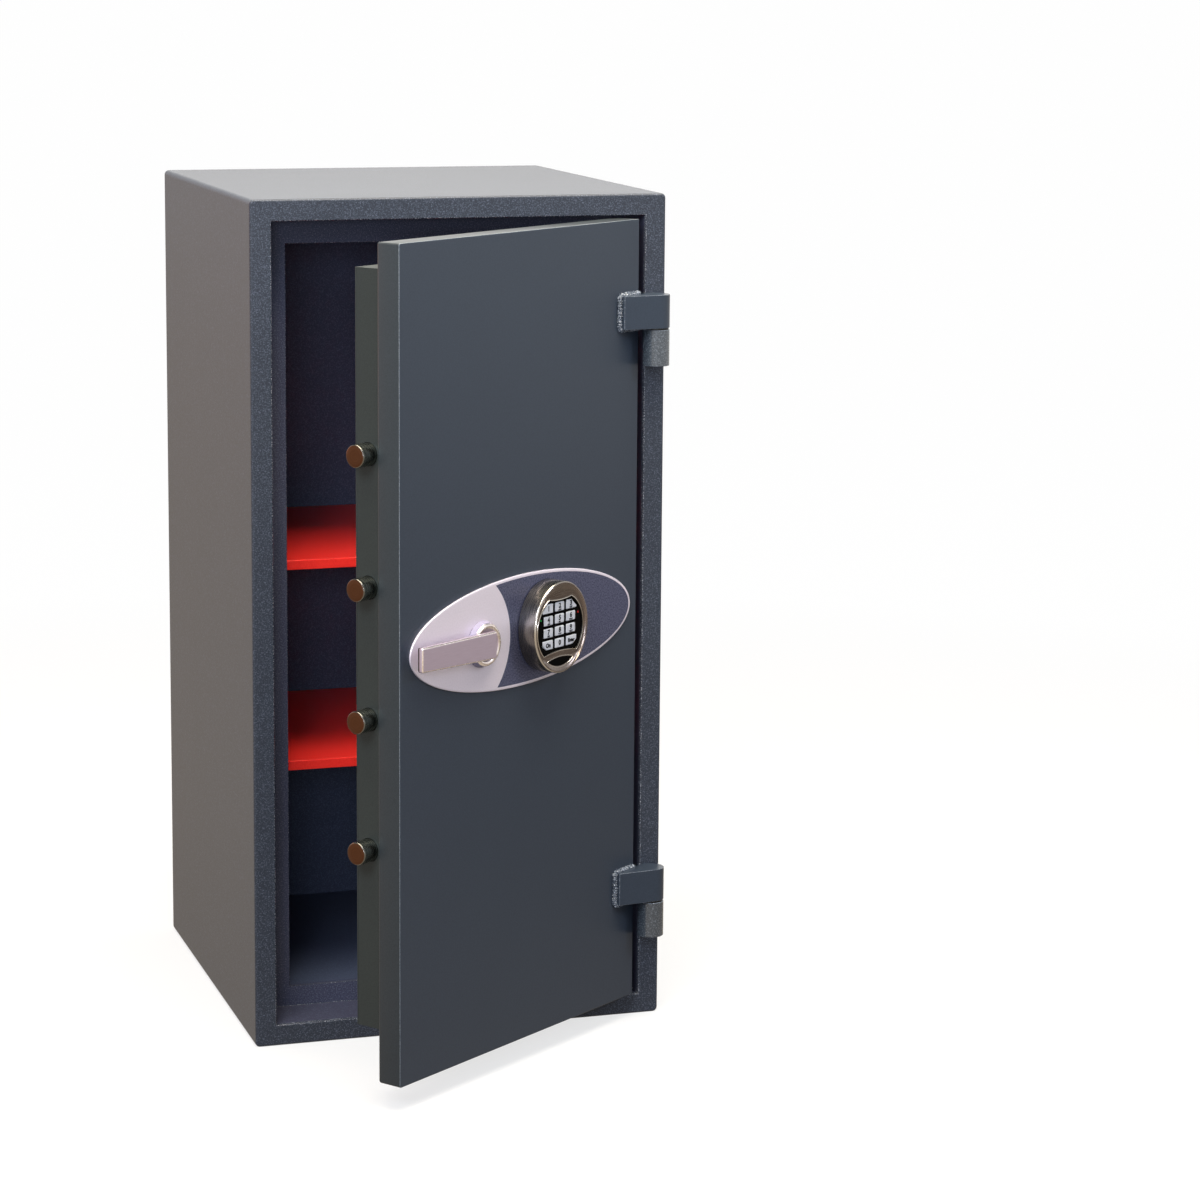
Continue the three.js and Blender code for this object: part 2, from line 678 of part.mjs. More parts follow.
// Upright bar behind the four bolts, and the slotted arm that the handle's cam drives.
function boltCarriage() {
  const left = -BOX_RIGHT - BOLT_THROW + BOLT_LENGTH + JOINT_GAP;
  const armFront = BOX_INNER_FRONT + CAM_THICKNESS + 2 * JOINT_GAP;
  const armBottom = HANDLE_HEIGHT + ARM_RISE;
  const end = HANDLE_OFFSET + ARM_REACH;
  const upright = block(
    [left, left + CARRIAGE_BAR],
    [BOLT_Y - CARRIAGE_BAR / 2, BOLT_Y + CARRIAGE_BAR / 2],
    [boltHeights[BOLT_COUNT - 1] - CARRIAGE_OVERHANG, boltHeights[0] + CARRIAGE_OVERHANG],
  );
  const arm = block(
    [left + 1, end],
    [armFront, armFront + ARM_THICKNESS],
    [armBottom, armBottom + ARM_HEIGHT],
  );
  const half = CAM_PIN_RADIUS + CAM_SLOT_CLEARANCE;
  const slot = block(
    [HANDLE_OFFSET - BOLT_STROKE / 2 - half, HANDLE_OFFSET - BOLT_STROKE / 2 + half],
    [armFront - 1, armFront + ARM_THICKNESS + 1],
    [HANDLE_HEIGHT + BOLT_STROKE / 2 - half, HANDLE_HEIGHT + CAM_PIN_ORBIT + half],
  );
  return upright.add(arm).subtract(slot);
}

// Upright strip inside the tray with a running hole for each bolt.
function boltGuide() {
  const left = -BOX_RIGHT + GUIDE_INSET;
  const foot = block(
    [left, left + GUIDE_INSET],
    [BOX_INNER_FRONT + JOINT_GAP, BOX_INNER_FRONT + JOINT_GAP + GUIDE_SHEET / 2],
    [boltHeights[BOLT_COUNT - 1] - GUIDE_OVERHANG, boltHeights[0] + GUIDE_OVERHANG],
  );
  let strip = block(
    [left, left + GUIDE_SHEET],
    [BOX_INNER_FRONT + JOINT_GAP, COVER_FRONT - JOINT_GAP],
    [boltHeights[BOLT_COUNT - 1] - GUIDE_OVERHANG, boltHeights[0] + GUIDE_OVERHANG],
  ).add(foot);
  for (const height of boltHeights) {
    const hole = bar(
      "x",
      BOLT_RADIUS + BOLT_CLEARANCE,
      [left - 1, left + GUIDE_INSET + 1],
      [BOLT_Y, height],
    );
    strip = strip.subtract(hole);
  }
  return strip;
}

// Dead bolt on the hinge side, held in the tray's wall by a flange.
function fixedBolt(height) {
  const flangeRight = BOX_RIGHT - BOX_SHEET - JOINT_GAP;
  const flange = bar(
    "x",
    FIXED_BOLT_FLANGE,
    [flangeRight - FIXED_BOLT_FLANGE_THICKNESS, flangeRight],
    [BOLT_Y, height],
  );
  const shank = bar(
    "x",
    FIXED_BOLT_RADIUS,
    [flangeRight - 1, BOX_RIGHT + FIXED_BOLT_REACH],
    [BOLT_Y, height],
  );
  const trim = block(
    [flangeRight - FIXED_BOLT_FLANGE_THICKNESS - 1, flangeRight + 1],
    [DOOR_BACK - 1, BOX_INNER_FRONT + JOINT_GAP],
    [height - FIXED_BOLT_FLANGE, height + FIXED_BOLT_FLANGE],
  );
  return flange.add(shank).subtract(trim);
}

// Lock body above the carriage's arm, with the channel that its bolt drops from.
function lockCase() {
  const bottom = HANDLE_HEIGHT + ARM_RISE + ARM_HEIGHT + LOCK_BOLT_PLAY;
  const front = BOX_INNER_FRONT + JOINT_GAP;
  const body = block(
    [LOCK_LEFT, LOCK_LEFT + LOCK_WIDTH],
    [front, front + LOCK_DEEP],
    [bottom, bottom + LOCK_TALL],
  );
  const [x0, x1] = lockBoltSpan();
  const y = lockBoltFront();
  const channel = block(
    [x0 - JOINT_GAP, x1 + JOINT_GAP],
    [y - JOINT_GAP, y + LOCK_BOLT_THICK + JOINT_GAP],
    [bottom - 1, bottom + LOCK_BOLT_LENGTH + JOINT_GAP],
  );
  return body.subtract(channel);
}

function lockBoltSpan() {
  const left = HANDLE_OFFSET + ARM_REACH + LOCK_BOLT_PLAY;
  return [left, left + LOCK_BOLT_WIDTH];
}

function lockBoltFront() {
  return BOX_INNER_FRONT + CAM_THICKNESS + 2 * JOINT_GAP + (ARM_THICKNESS - LOCK_BOLT_THICK) / 2 + 1;
}

function lockBolt() {
  const bottom = HANDLE_HEIGHT + ARM_RISE + ARM_HEIGHT + LOCK_BOLT_PLAY;
  const y = lockBoltFront();
  return block(
    lockBoltSpan(),
    [y, y + LOCK_BOLT_THICK],
    [bottom, bottom + LOCK_BOLT_LENGTH],
  );
}

// Cable from the keypad, back through the door and up into the lock.
function lockCable() {
  const start = OVAL_FRONT - KEYPAD_WALL;
  const run = BOX_INNER_FRONT + CABLE_BEND;
  const end = HANDLE_HEIGHT + ARM_RISE + ARM_HEIGHT + LOCK_BOLT_PLAY - JOINT_GAP;
  const path = new THREE.CurvePath();
  const corner = new THREE.Vector3(KEYPAD_OFFSET, run, LOCK_HEIGHT);
  const before = corner.clone().add(new THREE.Vector3(0, -CABLE_BEND, 0));
  const after = corner.clone().add(new THREE.Vector3(0, 0, CABLE_BEND));
  path.add(new THREE.LineCurve3(new THREE.Vector3(KEYPAD_OFFSET, start, LOCK_HEIGHT), before));
  path.add(new THREE.QuadraticBezierCurve3(before, corner, after));
  path.add(new THREE.LineCurve3(after, new THREE.Vector3(KEYPAD_OFFSET, run, end)));
  const section = new THREE.Shape();
  section.absarc(0, 0, CABLE_RADIUS, 0, 2 * Math.PI);
  const geometry = new THREE.ExtrudeGeometry(section, {
    steps: 30,
    curveSegments: 5,
    extrudePath: path,
  });
  return solid(geometry);
}

function handleSpindle() {
  return bar(
    "y",
    SPINDLE_RADIUS,
    [LEVER_BACK + JOINT_GAP, BOX_INNER_FRONT],
    [HANDLE_OFFSET, HANDLE_HEIGHT],
  );
}

// Cam on the inner end of the spindle, with the pin that runs in the arm's slot.
function driveCam() {
  const front = BOX_INNER_FRONT + JOINT_GAP;
  const disc = bar("y", CAM_RADIUS, [front, front + CAM_THICKNESS], [HANDLE_OFFSET, HANDLE_HEIGHT], 40);
  const pin = bar(
    "y",
    CAM_PIN_RADIUS,
    [front + 1, front + CAM_PIN_LENGTH],
    [HANDLE_OFFSET - BOLT_STROKE / 2, HANDLE_HEIGHT + BOLT_STROKE / 2],
    20,
  );
  return disc.add(pin);
}

function spindleBushing() {
  const back = BOX_INNER_FRONT - JOINT_GAP;
  const sleeve = bar(
    "y",
    BUSHING_RADIUS,
    [FRONT + BUSHING_RECESS, back],
    [HANDLE_OFFSET, HANDLE_HEIGHT],
  );
  const bore = bar(
    "y",
    SPINDLE_RADIUS + SPINDLE_CLEARANCE,
    [FRONT, back + 1],
    [HANDLE_OFFSET, HANDLE_HEIGHT],
  );
  return sleeve.subtract(bore);
}

// Flat lever that points to the free edge of the door while the bolts are thrown. It is a little
// wider at its root than at its tip, and the tip stands slightly higher.
function leverHandle() {
  const root = HANDLE_OFFSET + LEVER_PAST_SPINDLE;
  const tip = root - LEVER_LENGTH;
  const tipMiddle = HANDLE_HEIGHT + LEVER_TIP_RISE;
  const shape = new THREE.Shape();
  shape.moveTo(tip, tipMiddle - LEVER_TIP_HEIGHT / 2);
  shape.lineTo(root, HANDLE_HEIGHT - LEVER_ROOT_HEIGHT / 2);
  shape.lineTo(root, HANDLE_HEIGHT + LEVER_ROOT_HEIGHT / 2);
  shape.lineTo(tip, tipMiddle + LEVER_TIP_HEIGHT / 2);
  shape.closePath();
  return plate(shape, LEVER_BACK, LEVER_THICKNESS, LEVER_BORDER);
}

function handleRosette() {
  const hole = SPINDLE_RADIUS + SPINDLE_CLEARANCE + JOINT_GAP;
  const points = [
    [hole, 0],
    [ROSETTE_FOOT_RADIUS, 0],
    [ROSETTE_FOOT_RADIUS, ROSETTE_FOOT],
    [ROSETTE_RADIUS, ROSETTE_HEIGHT - ROSETTE_EDGE],
    [ROSETTE_RADIUS - ROSETTE_FACE_INSET, ROSETTE_HEIGHT],
    [hole, ROSETTE_HEIGHT],
    [hole, 0],
  ];
  return turned(points, HANDLE_OFFSET, OVAL_FRONT - JOINT_GAP, HANDLE_HEIGHT);
}

function ovalPlate() {
  const oval = plate(
    ellipse(OVAL_WIDTH, OVAL_HEIGHT, 0, LOCK_HEIGHT),
    FRONT - JOINT_GAP,
    OVAL_THICKNESS,
    0,
    48,
  );
  return oval.subtract(doorBores(FRONT - OVAL_THICKNESS - 2, FRONT + 1));
}

// Outline of the keypad's black panel: dished top, bowed sides and an arched foot.
function panelOutline(shrink = 0) {
  const top = [PANEL_TOP.x - shrink, PANEL_TOP.z - shrink];
  const foot = [PANEL_FOOT.x - shrink, PANEL_FOOT.z + shrink];
  const side = PANEL_SIDE - shrink;
  const shape = new THREE.Shape();
  shape.moveTo(-top[0], top[1]);
  arcThrough(shape, [-top[0], top[1]], [-side, 0], [-foot[0], foot[1]], 10);
  arcThrough(shape, [-foot[0], foot[1]], [0, PANEL_FOOT.middle + shrink], foot, 8);
  arcThrough(shape, foot, [side, 0], top, 10);
  arcThrough(shape, top, [0, PANEL_TOP.middle - shrink], [-top[0], top[1]], 8);
  return shape;
}

// Outline of the battery cover below the panel, a lens between two arcs.
function coverOutline(shrink = 0) {
  const end = [BATTERY_COVER_END.x - shrink, BATTERY_COVER_END.z];
  const shape = new THREE.Shape();
  shape.moveTo(-end[0], end[1]);
  arcThrough(shape, [-end[0], end[1]], [0, BATTERY_COVER_BOTTOM + shrink], end, 12);
  arcThrough(shape, end, [0, BATTERY_COVER_TOP - shrink], [-end[0], end[1]], 8);
  return shape;
}

const moved = (body) => body.translate([KEYPAD_OFFSET, 0, LOCK_HEIGHT]);
const KEYPAD_BACK = OVAL_FRONT - JOINT_GAP;
const KEYPAD_FRONT = FRONT - KEYPAD_PROUD;
const PANEL_FRONT = KEYPAD_FRONT + PANEL_RECESS;
const PANEL_BACK = PANEL_FRONT + PANEL_THICKNESS;
const KEY_FRONT = PANEL_FRONT - KEY_PROUD;
const POCKET_BACK = KEY_FRONT + KEY_THICKNESS + KEY_TRAVEL + JOINT_GAP;
const COVER_BACK = KEYPAD_FRONT + DISH_DEPTH + BATTERY_COVER_THICKNESS - BATTERY_COVER_PROUD;

// Drum of the keypad, open at the back, with a pocket in its face for the panel and its keys.
function keypadHousing() {
  const drum = plate(
    ellipse(KEYPAD_WIDTH, KEYPAD_HEIGHT),
    KEYPAD_BACK,
    KEYPAD_BACK - KEYPAD_FRONT,
    KEYPAD_EDGE,
    28,
  );
  const dish = taper(
    [KEYPAD_WIDTH - 2 * DISH_RIM, KEYPAD_HEIGHT - 2 * DISH_RIM],
    2 * DISH_SLOPE,
    KEYPAD_FRONT,
    DISH_DEPTH,
  );
  const pocket = plate(panelOutline(), POCKET_BACK, POCKET_BACK - KEYPAD_FRONT + 1);
  const recess = plate(
    coverOutline(),
    COVER_BACK + JOINT_GAP,
    COVER_BACK + JOINT_GAP - KEYPAD_FRONT + 1,
  );
  const hollow = plate(
    ellipse(KEYPAD_WIDTH - 2 * KEYPAD_WALL, KEYPAD_HEIGHT - 2 * KEYPAD_WALL),
    KEYPAD_BACK + 1,
    KEYPAD_BACK + 1 - POCKET_BACK - KEYPAD_FLOOR,
    0,
    20,
  );
  const wire = bar("y", CABLE_HOLE, [POCKET_BACK - 1, KEYPAD_BACK], [0, 0], 16);
  return moved(drum.subtract(dish).subtract(pocket).subtract(recess).subtract(hollow).subtract(wire));
}

// An elliptical hollow in a face, as deep as it is told, that narrows towards its floor.
function taper([width, height], narrowing, front, depth) {
  const over = narrowing / depth;
  const floor = new THREE.Vector2(width - narrowing, height - narrowing);
  const mouth = floor.clone().addScalar(narrowing + over);
  const geometry = new THREE.CylinderGeometry(0.5, 0.5, depth + 1, 72);
  const position = geometry.attributes.position;
  for (let i = 0; i < position.count; i++) {
    const size = position.getY(i) < 0 ? mouth : floor;
    position.setX(i, position.getX(i) * size.x);
    position.setZ(i, position.getZ(i) * size.y);
  }
  return solid(geometry.translate(0, front + (depth - 1) / 2, 0));
}

// Where each key sits on the panel, from its own middle, and which of its corners is cut.
const keys = [];
const KEY_NAMES = [
  ["key_1", "key_2", "key_3"],
  ["key_4", "key_5", "key_6"],
  ["key_7", "key_8", "key_9"],
  ["key_on", "key_0", "key_enter"],
];
KEY_NAMES.forEach((row, r) =>
  row.forEach((name, c) =>
    keys.push({
      name,
      x: (c - 1) * KEY_SPACING_X,
      z: KEYS_RISE + (1.5 - r) * KEY_SPACING_Z,
      cutSide: c - 1,
      cutEnd: r === 0 ? 1 : r === 3 ? -1 : 0,
    }),
  ),
);

// Outline of one key. A corner key is wider on its outer side, and its outer corner is cut back to
// follow the panel's edge.
function keyOutline({ x, z, cutSide, cutEnd }, grow = 0) {
  const w = KEY_WIDTH / 2 + grow;
  const h = KEY_HEIGHT / 2 + grow;
  if (!cutSide || !cutEnd) return roundedRectangle(x - w, x + w, z - h, z + h, KEY_CORNER);
  const cut = cutEnd > 0 ? TOP_KEY_CUT : BOTTOM_KEY_CUT;
  const outer = x + cutSide * (w + CORNER_KEY_EXTRA);
  const inner = x - cutSide * w;
  const round = [
    [inner, z - cutEnd * h],
    [outer, z - cutEnd * h],
    [outer, z + cutEnd * (h - cut.down)],
    [outer - cutSide * cut.across, z + cutEnd * h],
    [inner, z + cutEnd * h],
  ];
  if (cutSide * cutEnd < 0) round.reverse();
  const shape = new THREE.Shape();
  round.forEach(([px, pz], i) => (i ? shape.lineTo(px, pz) : shape.moveTo(px, pz)));
  return shape;
}

function keypadPanel() {
  let panel = plate(panelOutline(JOINT_GAP), PANEL_BACK, PANEL_THICKNESS);
  for (const key of keys) {
    const window = plate(keyOutline(key, KEY_WINDOW_GAP), PANEL_BACK + 1, PANEL_THICKNESS + 2, 0, 3);
    panel = panel.subtract(window);
  }
  for (const side of [-1, 1]) {
    const hole = bar(
      "y",
      LED_RADIUS + JOINT_GAP,
      [PANEL_FRONT - 1, PANEL_BACK + 1],
      [side * LED_OFFSET.x, LED_OFFSET.z],
      16,
    );
    panel = panel.subtract(hole);
  }
  return moved(panel);
}

function statusLed(side) {
  return moved(
    bar(
      "y",
      LED_RADIUS,
      [PANEL_FRONT - JOINT_GAP, POCKET_BACK - JOINT_GAP],
      [side * LED_OFFSET.x, LED_OFFSET.z],
      16,
    ),
  );
}

// Cabinet
add(safe, "outer_shell", outerShell(), paint.body);
add(safe, "barrier_fill", barrierFill(), barrier);
add(safe, "barrier_back", barrierBack(), barrier);
add(safe, "inner_liner", innerLiner(), paint.inside);
add(safe, "jamb_frame", jambFrame(), paint.body);
for (const [place, seam] of Object.entries(HINGE_SEAMS)) {
  add(safe, "hinge_knuckle_" + place, hingeKnuckle(seam), paint.body);
  add(safe, "hinge_pin_" + place, hingePin(seam), steel);
  add(safe, "hinge_washer_" + place, hingeWasher(seam), steel);
}
for (const [place, top] of Object.entries(SHELF_HEIGHTS)) {
  add(safe, "shelf_" + place, shelf(top), paint.shelf);
  add(safe, "shelf_bracket_" + place + "_left", shelfBracket(top, -1), zinc);
  add(safe, "shelf_bracket_" + place + "_right", shelfBracket(top, 1), zinc);
}
add(safe, "anchor_plug", anchorPlug(), blackPlastic);

// Door
add(door, "door_plate", doorPlate(), paint.door);
add(door, "door_fill", doorFill(), barrier);
add(door, "boltwork_box", boltworkBox(), paint.door);
add(door, "boltwork_cover", boltworkCover(), paint.door);
for (const [place, seam] of Object.entries(HINGE_SEAMS)) {
  add(door, "hinge_leaf_" + place, hingeLeaf(seam), paint.body);
}
for (const [place, height] of Object.entries(fixedBoltHeights)) {
  add(door, "fixed_bolt_" + place, fixedBolt(height), steel);
}
add(door, "bolt_guide", boltGuide(), zinc);
add(door, "lock_case", lockCase(), zinc);
add(door, "lock_cable", lockCable(), blackPlastic);
add(door, "spindle_bushing", spindleBushing(), brass);
add(door, "handle_rosette", handleRosette(), castMetal);
add(door, "oval_plate", ovalPlate(), silver);
add(door, "keypad_housing", keypadHousing(), nickel);
add(door, "keypad_panel", keypadPanel(), blackPlastic);
add(
  door,
  "battery_cover",
  moved(plate(coverOutline(JOINT_GAP), COVER_BACK, BATTERY_COVER_THICKNESS)),
  blackPlastic,
);
add(door, "led_green", statusLed(-1), greenLens);
add(door, "led_red", statusLed(1), redLens);

// What moves on the door
boltHeights.forEach((height, i) => add(door, "locking_bolt_" + (i + 1), lockingBolt(height), steel));
add(door, "bolt_carriage", boltCarriage(), zinc);
add(door, "lock_bolt", lockBolt(), brass);
add(door, "handle_spindle", handleSpindle(), steel);
add(door, "drive_cam", driveCam(), steel);
add(door, "lever_handle", leverHandle(), castMetal);
for (const key of keys) {
  const cap = plate(keyOutline(key), KEY_FRONT + KEY_THICKNESS, KEY_THICKNESS, 0, 3);
  add(door, key.name, moved(cap), keyRubber);
}

export default safe;
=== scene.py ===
# A free-standing high-security safe in graphite powder coat. It stands with its door a little open,
# so the four locking bolts, the frame and the red shelves show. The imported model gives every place.
import json
import math

import bmesh
import bpy
import numpy as np
from mathutils import Matrix, Vector

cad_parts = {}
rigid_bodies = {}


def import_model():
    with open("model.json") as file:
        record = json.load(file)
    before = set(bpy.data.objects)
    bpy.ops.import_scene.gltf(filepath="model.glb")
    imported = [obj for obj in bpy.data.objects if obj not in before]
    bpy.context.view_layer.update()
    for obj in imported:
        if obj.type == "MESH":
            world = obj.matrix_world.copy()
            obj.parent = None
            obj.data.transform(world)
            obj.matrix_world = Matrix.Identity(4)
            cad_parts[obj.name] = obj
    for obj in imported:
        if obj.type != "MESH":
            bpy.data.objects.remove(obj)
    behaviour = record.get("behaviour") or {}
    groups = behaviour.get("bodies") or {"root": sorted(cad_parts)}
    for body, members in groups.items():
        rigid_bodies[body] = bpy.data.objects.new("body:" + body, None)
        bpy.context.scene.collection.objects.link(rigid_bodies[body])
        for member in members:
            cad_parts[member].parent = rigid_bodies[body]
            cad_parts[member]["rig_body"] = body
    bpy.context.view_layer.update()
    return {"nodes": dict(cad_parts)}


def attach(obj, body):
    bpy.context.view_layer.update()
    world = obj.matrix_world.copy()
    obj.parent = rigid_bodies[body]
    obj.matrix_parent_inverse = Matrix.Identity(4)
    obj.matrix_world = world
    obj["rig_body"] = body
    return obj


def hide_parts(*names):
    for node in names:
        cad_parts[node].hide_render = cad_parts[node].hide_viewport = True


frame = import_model()


# Cabinet body: steel sheet, folded and welded into a box with a flange round the door opening.
# Its seams are ground flush and it is powder coated in one go, so the corners stay a little round
# and the coat has the fine orange peel of a textured powder.
def linear(hex_colour):
    """sRGB hex to linear: ((c + 0.055) / 1.055) to the power 2.4, and c / 12.92 in the darkest part."""
    parts = np.array([int(hex_colour[i:i + 2], 16) / 255 for i in (1, 3, 5)])
    light = np.where(parts > 0.04045, ((parts + 0.055) / 1.055) ** 2.4, parts / 12.92)
    return (*light, 1.0)


def add(tree, kind, inputs=None, **settings):
    """One shader node with its settings; an input takes a value, or the socket that it is joined to."""
    made = tree.nodes.new(kind)
    for name, value in settings.items():
        setattr(made, name, value)
    for name, value in (inputs or {}).items():
        if isinstance(value, bpy.types.NodeSocket):
            tree.links.new(value, made.inputs[name])
        else:
            made.inputs[name].default_value = value
    return made


def new_material(name):
    """A material, its node tree and the surface shader that the nodes of its look are joined to."""
    material = bpy.data.materials.new(name)
    material.use_nodes = True
    return material, material.node_tree, material.node_tree.nodes["Principled BSDF"]


def powder_coat(name, colour, shade, roughness, relief_mm=0.05, glint=None, level=0.3):
    """Polyester powder coat, IOR 1.5 with its gloss broken by the texture: it flows out in the oven to a
    fine peel, whose colour runs from shade to colour with a noise of 1.3 mm and with slow clouds of
    90 mm. Where the noise is highest, the glint colour paints highlights on the tips of the peel."""
    material, tree, surface = new_material(name)
    grain_mm = 1.3
    cloud_mm = 90
    surface.inputs["IOR"].default_value = 1.5
    surface.inputs["Specular IOR Level"].default_value = level
    place = add(tree, "ShaderNodeTexCoord").outputs["Object"]
    grain = add(tree, "ShaderNodeTexNoise", {
        "Vector": place, "Scale": 1000 / grain_mm, "Detail": 2.5, "Roughness": 0.6})
    cloud = add(tree, "ShaderNodeTexNoise", {"Vector": place, "Scale": 1000 / cloud_mm, "Detail": 1.0})
    spots = add(tree, "ShaderNodeMapRange", {
        "Value": grain.outputs["Fac"], "From Min": 0.38, "From Max": 0.62, "To Min": 0.0, "To Max": 0.7})
    tone = add(tree, "ShaderNodeMath", {
        0: cloud.outputs["Fac"], 1: 0.3, 2: spots.outputs["Result"]}, operation="MULTIPLY_ADD")
    colours = add(tree, "ShaderNodeMix", {
        "Factor": tone.outputs[0], "A": linear(shade), "B": linear(colour)}, data_type="RGBA")
    if glint:
        tips = add(tree, "ShaderNodeMapRange", {
            "Value": grain.outputs["Fac"], "From Min": 0.52, "From Max": 0.74})
        colours = add(tree, "ShaderNodeMix", {
            "Factor": tips.outputs["Result"], "A": colours.outputs["Result"], "B": linear(glint)},
            data_type="RGBA")
    tree.links.new(colours.outputs["Result"], surface.inputs["Base Color"])
    gloss = add(tree, "ShaderNodeMapRange", {
        "Value": grain.outputs["Fac"], "To Min": roughness - 0.08, "To Max": roughness + 0.08})
    tree.links.new(gloss.outputs["Result"], surface.inputs["Roughness"])
    relief = add(tree, "ShaderNodeBump", {
        "Height": grain.outputs["Fac"], "Distance": relief_mm / 1000, "Strength": 1.0})
    tree.links.new(relief.outputs["Normal"], surface.inputs["Normal"])
    return material


def dress(obj, *materials):
    """The object shows the first material all over; any others wait in its list for single faces."""
    obj.data.materials.clear()
    for material in materials:
        obj.data.materials.append(material)


smooth_below = math.radians(38)


def finished_copy(node, name, material, edge_mm, steps=2, sharper_than=50, edge=None):
    """A merged copy of a node, its flat faces whole again, with every edge sharper than the given
    angle rounded by edge_mm, as grinding and paint leave it, and shown in the edge material if any,
    which is a paler copy of the coat that paints a highlight along them."""
    source = frame["nodes"][node]
    work = bmesh.new()
    work.from_mesh(source.data)
    bmesh.ops.remove_doubles(work, verts=work.verts, dist=2e-6)
    bmesh.ops.dissolve_limit(
        work, angle_limit=math.radians(0.5), verts=work.verts, edges=work.edges,
        use_dissolve_boundaries=False, delimit={"NORMAL"})
    mesh = bpy.data.meshes.new(name)
    work.to_mesh(mesh)
    work.free()
    mesh.shade_smooth()
    mesh.set_sharp_from_angle(angle=smooth_below)
    obj = bpy.data.objects.new(name, mesh)
    bpy.context.scene.collection.objects.link(obj)
    rounding = obj.modifiers.new("edge", "BEVEL")
    rounding.width = edge_mm / 1000
    rounding.segments = steps
    rounding.limit_method = "ANGLE"
    rounding.angle_limit = math.radians(sharper_than)
    rounding.use_clamp_overlap = True
    rounding.material = 1 if edge else -1
    level = obj.modifiers.new("level faces", "WEIGHTED_NORMAL")
    level.weight = 100
    level.keep_sharp = True
    dress(obj, material)
    if edge:
        obj.data.materials.append(edge)
    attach(obj, source["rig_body"])
    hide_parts(node)


# The coat looks blue grey with a soft sheen, speckled with painted glints. Its rounded edges show a
# paler copy with brighter glints: a painted highlight.
graphite = powder_coat("graphite powder coat", "#393e48", "#2b3039", 0.42, glint="#636a78")
graphite_edge_highlight = powder_coat(
    "graphite powder coat, painted edge highlight", "#484d58", "#333842", 0.26, glint="#cdd1d8", level=0.5)
finished_copy("outer_shell", "cabinet_shell", graphite, 1.1, edge=graphite_edge_highlight)


# Jamb: rolled steel bars welded inside the opening, which make the rebate, its step and the pockets
# for the bolts. It is sprayed with the cabinet, but shown in a paler, more violet copy of the coat:
# painted light that stands for the light reaching its depth.
jamb_coat_painted_lighter = powder_coat("graphite powder coat in the jamb, painted lighter", "#4b4d60", "#3a3c4e", 0.46, glint="#6b6e80")
finished_copy("jamb_frame", "door_jamb", jamb_coat_painted_lighter, 1.1, edge=graphite_edge_highlight)


# Inside: thinner sheet, spot welded, and coated in navy with the same textured powder, which is a
# little more matt than the outside.
navy_coat = powder_coat("navy powder coat", "#4b546a", "#3d455a", 0.5, glint="#5c667c")
dress(frame["nodes"]["inner_liner"], navy_coat)


# Shelves: pressed sheet with turned down edges, dipped bright red and stoved to a soft gloss. They
# sit on zinc plated angles that are riveted to the sides.
red_coat = powder_coat("red powder coat", "#f8362c", "#ee2a24", 0.33, relief_mm=0.04)
for place in ("upper", "lower"):
    finished_copy("shelf_" + place, place + "_shelf", red_coat, 0.9, 3)


def flaked_metal(name, colour, shade, roughness, grain_mm=7.0):
    """A bare or plated metal surface: metallic, with faint flakes of grain_mm between two shades,
    which are rougher where they are paler."""
    material, tree, surface = new_material(name)
    surface.inputs["Metallic"].default_value = 1.0
    place = add(tree, "ShaderNodeTexCoord").outputs["Object"]
    flake = add(tree, "ShaderNodeTexVoronoi", {"Vector": place, "Scale": 1000 / grain_mm})
    colours = add(tree, "ShaderNodeMix", {
        "Factor": flake.outputs["Color"], "A": linear(shade), "B": linear(colour)}, data_type="RGBA")
    tree.links.new(colours.outputs["Result"], surface.inputs["Base Color"])
    gloss = add(tree, "ShaderNodeMapRange", {
        "Value": flake.outputs["Color"], "To Min": roughness - 0.07, "To Max": roughness + 0.07})
    tree.links.new(gloss.outputs["Result"], surface.inputs["Roughness"])
    return material


zinc = flaked_metal("zinc plated steel", "#b9b9b0", "#9b9b92", 0.42)
for place in ("upper", "lower"):
    for side in ("left", "right"):
        dress(frame["nodes"]["shelf_bracket_" + place + "_" + side], zinc)
for node in ("bolt_guide", "lock_case", "bolt_carriage"):
    dress(frame["nodes"][node], zinc)


# Barrier: a mineral mix cast between the skins of the walls and of the door, grey and grainy, which
# stays hidden while the skins are whole.
def cast_barrier():
    """Cast mineral mix: rough, IOR 1.5, with a noise of 4 mm for the grit, in two greys."""
    material, tree, surface = new_material("cast barrier")
    grit_mm = 4
    relief_mm = 0.8
    surface.inputs["Roughness"].default_value = 0.92
    place = add(tree, "ShaderNodeTexCoord").outputs["Object"]
    grit = add(tree, "ShaderNodeTexNoise", {"Vector": place, "Scale": 1000 / grit_mm, "Detail": 4.0})
    colours = add(tree, "ShaderNodeMix", {
        "Factor": grit.outputs["Fac"], "A": linear("#77756f"), "B": linear("#a19f98")}, data_type="RGBA")
    tree.links.new(colours.outputs["Result"], surface.inputs["Base Color"])
    relief = add(tree, "ShaderNodeBump", {"Height": grit.outputs["Fac"], "Distance": relief_mm / 1000})
    tree.links.new(relief.outputs["Normal"], surface.inputs["Normal"])
    return material


barrier = cast_barrier()
for node in ("barrier_fill", "barrier_back", "door_fill"):
    dress(frame["nodes"][node], barrier)


